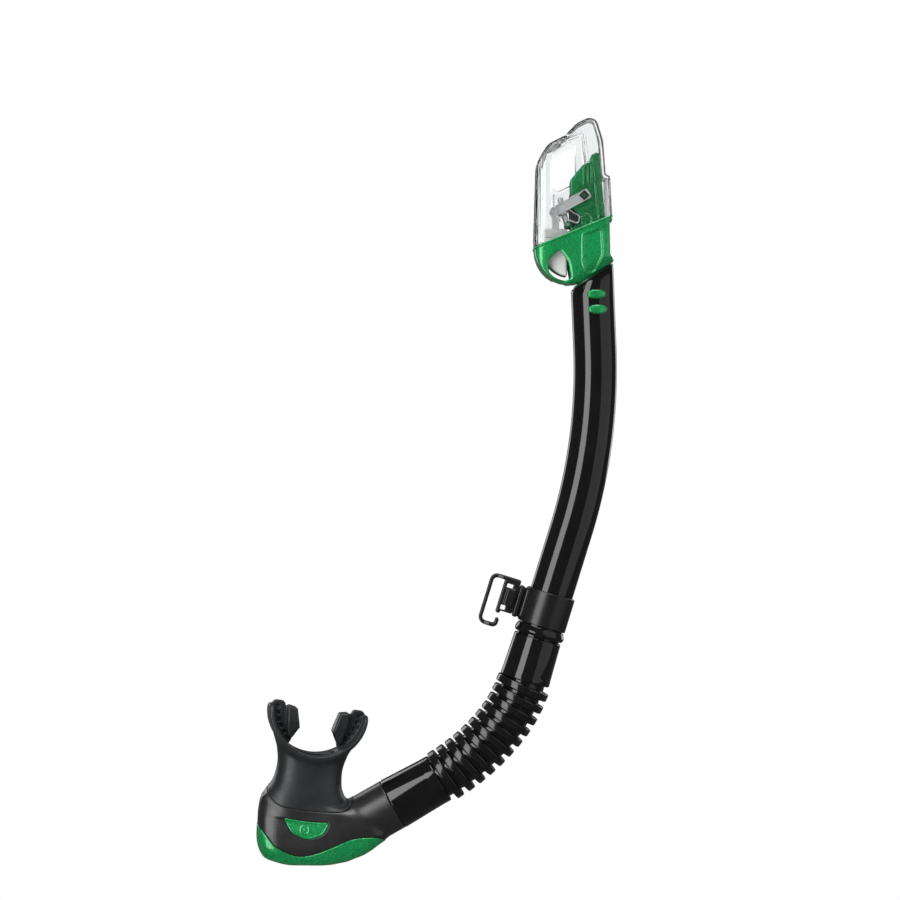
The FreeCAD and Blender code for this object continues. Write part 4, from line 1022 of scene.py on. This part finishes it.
def base_field(x, y, z):
    """Green cup, inlet pillar and spigot, with grip, float window, port and the shutter's ears."""
    form, rim = top_form(x, y, z), rim_height(x, z)
    grip_outline, window_outline = GRIP(x, z), FLOAT_WINDOW(x, z)
    outside = np.abs(y) > FACE_DEPTH
    lip = 0.6 * np.clip((rim + 1.5) / 0.6, 0, 1)
    grip = np.clip(-0.9 * grip_outline, 0, 0.9) * outside
    grip_edge = 0.45 * np.exp(-((grip_outline - 0.5) / 0.5) ** 2) * outside
    bevel = np.clip(0.7 * (1.5 - window_outline), 0, 1.1) * outside
    cup = minus(both(form - lip + grip + bevel - grip_edge, rim, 0.9), form + TOP_WALL)
    cup = minus(cup, both(window_outline, FACE_DEPTH - np.abs(y)), 0.4)
    pillar = both(pillar_field(x, y, z), form + TOP_WALL - 0.4)
    side, along = spigot_local(x, z)
    plug = both(oval(side, y, 11.2, 9.65), 26.0 - along, 0.4)
    body = either(either(cup, pillar, 0.4), both(plug, above_floor(x, z) - 0.9), 0.1)
    body = minus(body, both(oval(side, y, 9.75, 8.2), along - 50.0))
    body = minus(body, ball_box(x - 43.3, y, z - PORT_Z, (3.0, PORT_HALF_DEPTH, PORT_HALF_HEIGHT), 2.9), 0.3)
    axle, ear_side = away(x, z, SHUTTER_HINGE), np.abs(y) - 9.6
    ear = both(axle - 1.7, np.abs(ear_side) - 0.8, 0.2)
    web = ball_box(x - 43.0, ear_side, z - SHUTTER_HINGE[1], (1.4, 0.8, 1.7), 0.2)
    return minus(either(body, either(ear, web), 0.2), axle - 0.85)


def cover_field(x, y, z):
    form = top_form(x, y, z)
    hood = both(form, 0.06 - rim_height(x, z), 0.25)
    rib = np.minimum(
        both(np.abs(x - 33.4) - 0.4, np.abs(z - 232.8) - 5.4),
        both(np.abs(line_side(x, z, (33.4, 227.8), -52.0)) - 0.4, np.abs(x - 35.0) - 1.9),
    )
    inside = form + TOP_WALL
    hood = minus(hood, inside)
    fin = both(rib, minus(inside, form + 3.0))
    hood = either(hood, both(fin, 13.0 - np.abs(y)), 0.3)
    crest = np.minimum(
        both(np.abs(line_side(x, z, (39.2, 271.4), 21.0)), np.abs(x - 42.0) - 6.6),
        both(np.abs(line_side(x, z, (52.6, 258.0), 96.0)), np.abs(z - 266.0) - 7.6),
    )
    hood = either(hood, both(crest - 0.5, both(form - 0.35, FACE_DEPTH - np.abs(y))), 0.4)
    return minus(hood, both(COVER_OPENING(x, z), FACE_DEPTH - np.abs(y)), 0.5)


def turned(x, z, point, degrees):
    """Coordinates seen from a piece that has turned about a Y axis through a point."""
    c, s = math.cos(math.radians(degrees)), math.sin(math.radians(degrees))
    dx, dz = x - point[0], z - point[1]
    return dx * c - dz * s, dx * s + dz * c


def shutter_field(x, y, z):
    """Shutter leaning on its hinge, with raised edges, trunnions and straps."""
    a, b = turned(x, z, SHUTTER_HINGE, -SHUTTER_LEAN)
    plate = ball_box(a, y, b - 8.15, (0.75, 8.3, 8.35), 0.35)
    border = np.abs(both(np.abs(y) - 7.7, np.abs(b - 8.4) - 7.6)) - 0.4
    edge = both(np.abs(a + 0.9) - 0.5, both(border, -0.4), 0.2)
    hinge = both(away(a, b) - 1.3, np.abs(y) - 8.6, 0.2)
    axle = both(away(a, b) - 0.8, np.abs(y) - 10.3, 0.1)
    trunnion = both(away(a, b - TRUNNION_ALONG) - 0.8, np.abs(np.abs(y) - 10.1) - 2.1, 0.1)
    strap = ball_box(a, np.abs(y) - 9.2, b - TRUNNION_ALONG, (0.75, 1.2, 1.2), 0.3)
    flap = either(np.minimum(plate, edge), hinge, 0.3)
    return np.minimum(flap, np.minimum(np.minimum(axle, trunnion), strap))


def pad_field(x, y, z):
    a, b = turned(x, z, SHUTTER_HINGE, -SHUTTER_LEAN)
    return ball_box(a - 0.96, y, b - 9.3, (0.21, 7.3, 6.8), 0.2)


def seal_field(x, y, z):
    outer = ball_box(x - 43.05, y, z - PORT_Z, (0.25, 7.8, 8.3), 0.2)
    inner = ball_box(x - 43.05, y, z - PORT_Z, (2.0, PORT_HALF_DEPTH, PORT_HALF_HEIGHT), 1.9)
    border = minus(outer, inner, 0.1)
    # Thin black half-discs beside the port, one on each side of the shutter's hinge, 0.34 mm thick, moulded
    # with the seal border.
    dark_half_disc = away(x, z, DARK_DISC_CENTRE) - 6.0
    dark_half_disc = both(both(dark_half_disc, 43.35 - x), np.abs(np.abs(y) - 10.56) - 0.17, 0.1)
    return np.minimum(border, dark_half_disc)


LEVER_LINE = math.degrees(math.atan2(FLOAT_PIN[1] - LEVER_PIVOT[1], FLOAT_PIN[0] - LEVER_PIVOT[0]))
ARM_LENGTH = math.hypot(FLOAT_PIN[0] - LEVER_PIVOT[0], FLOAT_PIN[1] - LEVER_PIVOT[1])


def lever_field(x, y, z):
    """Two flat arms with a raised rim, a pocket at the float end and a thin slotted hook below."""
    dx, dz = x - LEVER_PIVOT[0], z - LEVER_PIVOT[1]
    c, s = math.cos(math.radians(LEVER_LINE)), math.sin(math.radians(LEVER_LINE))
    reach, side = dx * c + dz * s, -dx * s + dz * c
    middle, half = (ARM_LENGTH + 2.6 - 3.6) / 2, (ARM_LENGTH + 2.6 + 3.6) / 2
    bar = ball_box(reach - middle, side, 0, (half, 2.95, 9.0), 1.3)
    depth = np.abs(np.abs(y) - ARM_DEPTH)
    rim = np.where(bar > -0.75, 0.8, 0.5)
    pocket = ball_box(reach - ARM_LENGTH + 2.4, side, 0, (3.6, 1.6, 9.0), 1.5)
    face = np.where(pocket < 0, 0.32, rim)
    arm = both(bar, depth - face, 0.12)
    spread = away(dx, dz)
    wedge = both(line_side(x, z, LEVER_PIVOT, 24.5), -line_side(x, z, LEVER_PIVOT, 80.0))
    band = both(np.abs(spread - HOOK_R) - HOOK_HALF, wedge, 1.8)
    slot = both(np.abs(spread - HOOK_R + 0.018 * (dx + 11)) - 2.15, wedge + 0.7, 1.5)
    hook = both(minus(band, slot), depth - 0.45, 0.1)
    arm = either(arm, both(hook, -bar - 0.6), 0.2)
    arm = minus(arm, spread - 1.56)
    pin_hole = away(x, z, FLOAT_PIN) - 0.97
    return minus(arm, pin_hole)


def pins_field(x, y, z):
    """Square-headed stub pins, standing on a corner."""
    dx, dz = x - LEVER_PIVOT[0], z - LEVER_PIVOT[1]
    spread = away(dx, dz)
    shaft = both(spread - 1.5, np.abs(np.abs(y) - 10.6) - 1.9, 0.1)
    head = both((np.abs(dx) + np.abs(dz)) / 1.414 - 2.15, np.abs(np.abs(y) - 12.85) - 0.35, 0.15)
    return both(np.minimum(shaft, head), -both(spread - 1.25, 12.8 - np.abs(y)))


def boss_field(x, y, z):
    spread = away(x, z, LEVER_PIVOT)
    dome = both(spread - 1.2, np.abs(np.abs(y) - 13.0) - 0.38, 0.3)
    return minus(dome, both(spread - 0.5, 13.1 - np.abs(y)), 0.1)


def float_field(x, y, z):
    """Float block that follows the round cup, with shallow grooves and the eye for its pin."""
    round_part = away(x, z, CUP_CENTRE) - CUP_R
    below = np.where(z < CUP_CENTRE[1], round_part, -5.0)
    front = both(both(27.0 - x, x - 41.2), both(z - 219.0, below), 1.2)
    block = both(front, np.abs(y) - 10.0, 1.4)
    for i in range(2):
        groove = both(np.abs(z - 208.5 - 5.0 * i) - 0.3, -block - 0.4)
        block = minus(block, groove)
    dx, dz = x - FLOAT_PIN[0], z - FLOAT_PIN[1]
    eye = slab(ball_box(dx, 0, dz + 5.6, (2.0, 9, 7.6), 1.9), y, 3.0, 0.4)
    body = either(block, eye, 0.8)
    return both(body, -(away(dx, dz) - 1.02))


def on_float_pin(points):
    """Local points with +Z turned onto the depth axis, at the float's pin."""
    x, y, z = points.T
    return on_top(np.stack([x + FLOAT_PIN[0], z, FLOAT_PIN[1] - y], axis=1))


def build_top():
    fine = 0.36
    low, high = (20.0, -18.2, 166.0), (71.5, 18.2, 268.0)
    mould("top_base_cup", on_top, base_field, low, high, fine,
          "green_metallic", "tube", "top_base")
    mould("top_cover_hood", on_top, cover_field, (19.5, -18.0, 205.0), (69.5, 18.0, 289.0), fine,
          "clear_plastic", "tube", "top_cover")
    small, block = ((0.24, 0.3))
    mould("shutter_flap", on_top, shutter_field, (35.2, -12.8, 219.5), (43.6, 12.8, 239.5), small,
          "lever_grey", "shutter", "shutter")
    mould("shutter_soft_pad", on_top, pad_field, (37.2, -7.8, 222.5), (44.0, 7.8, 239.0), 0.16,
          "seal_black", "shutter", "shutter_seal")
    mould("inlet_seal_frame", on_top, seal_field, (42.5, -11.0, 218.8), (48.2, 11.0, 239.8), 0.16,
          "seal_black", "tube", "inlet_seal")
    mould("float_lever_arms", on_top, lever_field, (30.0, -12.9, 219.0), (56.5, 12.9, 243.5), small,
          "lever_grey", "lever", "float_lever")
    mould("lever_pivot_pins", on_top, pins_field, (47.4, -13.6, 234.6), (54.6, 13.6, 242.0), 0.18,
          "black_gloss", "tube", "lever_pins", "seal_black")
    mould("lever_pivot_bosses", on_top, boss_field, (49.4, -13.8, 236.8), (52.6, 13.8, 239.8), 0.12,
          "green_metallic", "tube", "lever_pins")
    turn_up("float_pin_rod", on_float_pin, [
        (0.02, -13.0, 0), (0.95, -13.0, 0.25), (0.95, 13.0, 0.25), (0.02, 13.0, 0),
    ], 4, "lever_grey", "lever", "float_cross_pin", 40)
    mould("float_block", on_top, float_field, (26.0, -10.8, 188.5), (42.2, 10.8, 232.2), block,
          "float_white", "float", "float")
    build_gasket()


def build_gasket():
    """Thin oval seal on the barrel's slanted end."""
    outline = ((12.45, 10.9, 0.02), (12.45, 10.9, 0.68), (11.27, 9.72, 0.68), (11.27, 9.72, 0.02))
    rings = [slide_to_floor(oval_ring(a, b, BEND_END, BARREL_TOP_LINE), drop) for a, b, drop in outline]
    make_piece("top_gasket_ring", loft(rings), "seal_black", "tube", "top_gasket")


# ---- Stage, light and camera ----
CAMERA_AIM, CAMERA_DISTANCE, CAMERA_LENS = (-0.0254, 0.0, 0.08775), 1.764, 120.0


def area_light(name, azimuth, height, distance, width, tall, power):
    """Softbox aimed at the snorkel's middle; azimuth 0 is the camera's side, positive to its right."""
    data = bpy.data.lights.new(name, "AREA")
    data.shape = "RECTANGLE"
    data.size, data.size_y, data.energy = width, tall, power
    light = put(name, data)
    turn = math.radians(azimuth)
    light.location = (CAMERA_AIM[0] + distance * math.sin(turn), -distance * math.cos(turn),
                      CAMERA_AIM[2] + height)
    aim = put(name + "_aim", None)
    aim.location = CAMERA_AIM
    track = light.constraints.new("TRACK_TO")
    track.target, track.track_axis, track.up_axis = aim, "TRACK_NEGATIVE_Z", "UP_Y"


def build_world():
    """White surroundings for the eye, dimmer ones for reflections and fill."""
    world = bpy.data.worlds.new("studio")
    world.use_nodes = True
    nodes, link = world.node_tree.nodes, world.node_tree.links.new
    kinds = ("LightPath", "Mix", "Math", "Math")
    path, mix, bounces, direct = (nodes.new("ShaderNode" + kind) for kind in kinds)
    back = nodes["Background"]
    bounces.operation, direct.operation = "ADD", "LESS_THAN"
    for socket, value in ((mix.inputs["A"], 0.10), (mix.inputs["B"], 1.0), (direct.inputs[1], 0.5),
                          (back.inputs["Color"], (1, 1, 1, 1))):
        socket.default_value = value
    link(path.outputs["Diffuse Depth"], bounces.inputs[0])
    link(path.outputs["Glossy Depth"], bounces.inputs[1])
    link(bounces.outputs[0], direct.inputs[0])
    link(direct.outputs[0], mix.inputs["Factor"])
    link(mix.outputs["Result"], back.inputs["Strength"])
    bpy.context.scene.world = world


def build_floor():
    mesh = bpy.data.meshes.new("floor")
    side, near, far, level = 1.2, -1.4, 0.42, -0.262
    corners = [(x, y, level) for x, y in ((-side, near), (side, near), (side, far), (-side, far))]
    mesh.from_pydata(corners, [], [(0, 1, 2, 3)])
    floor = put("floor", mesh)
    nodes = Nodes("floor_paper")
    nodes.set(Base_Color=(0.9, 0.9, 0.9, 1), Roughness=0.9)
    mesh.materials.append(nodes.material)
    floor.visible_glossy = False


def build_camera():
    data = bpy.data.cameras.new("camera")
    data.lens, data.sensor_width = CAMERA_LENS, 36.0
    data.clip_end = 50.0
    camera = put("camera", data)
    camera.location = (CAMERA_AIM[0], -CAMERA_DISTANCE, CAMERA_AIM[2])
    camera.rotation_euler = (math.radians(90), 0, 0)
    bpy.context.scene.camera = camera


def build_stage():
    build_world()
    build_floor()
    area_light("softbox_left", -33, 0.15, 1.25, 0.62, 1.5, 15)
    area_light("fill_right", 60, 0.2, 1.5, 1.7, 1.6, 5)
    area_light("top_light", 10, 1.4, 0.5, 1.0, 0.8, 16)
    area_light("back_left", 215, 0.4, 1.4, 0.5, 1.2, 4)
    area_light("back_right", 140, 0.4, 1.4, 0.5, 1.2, 4)
    build_camera()
    view = bpy.context.scene.view_settings
    view.view_transform = "Standard"
    view.look = "None"


build_barrel()
build_inlays()
build_collar_and_cuffs()
build_hose()
build_keeper()
build_chamber()
build_mouthpiece()
build_top()
build_stage()
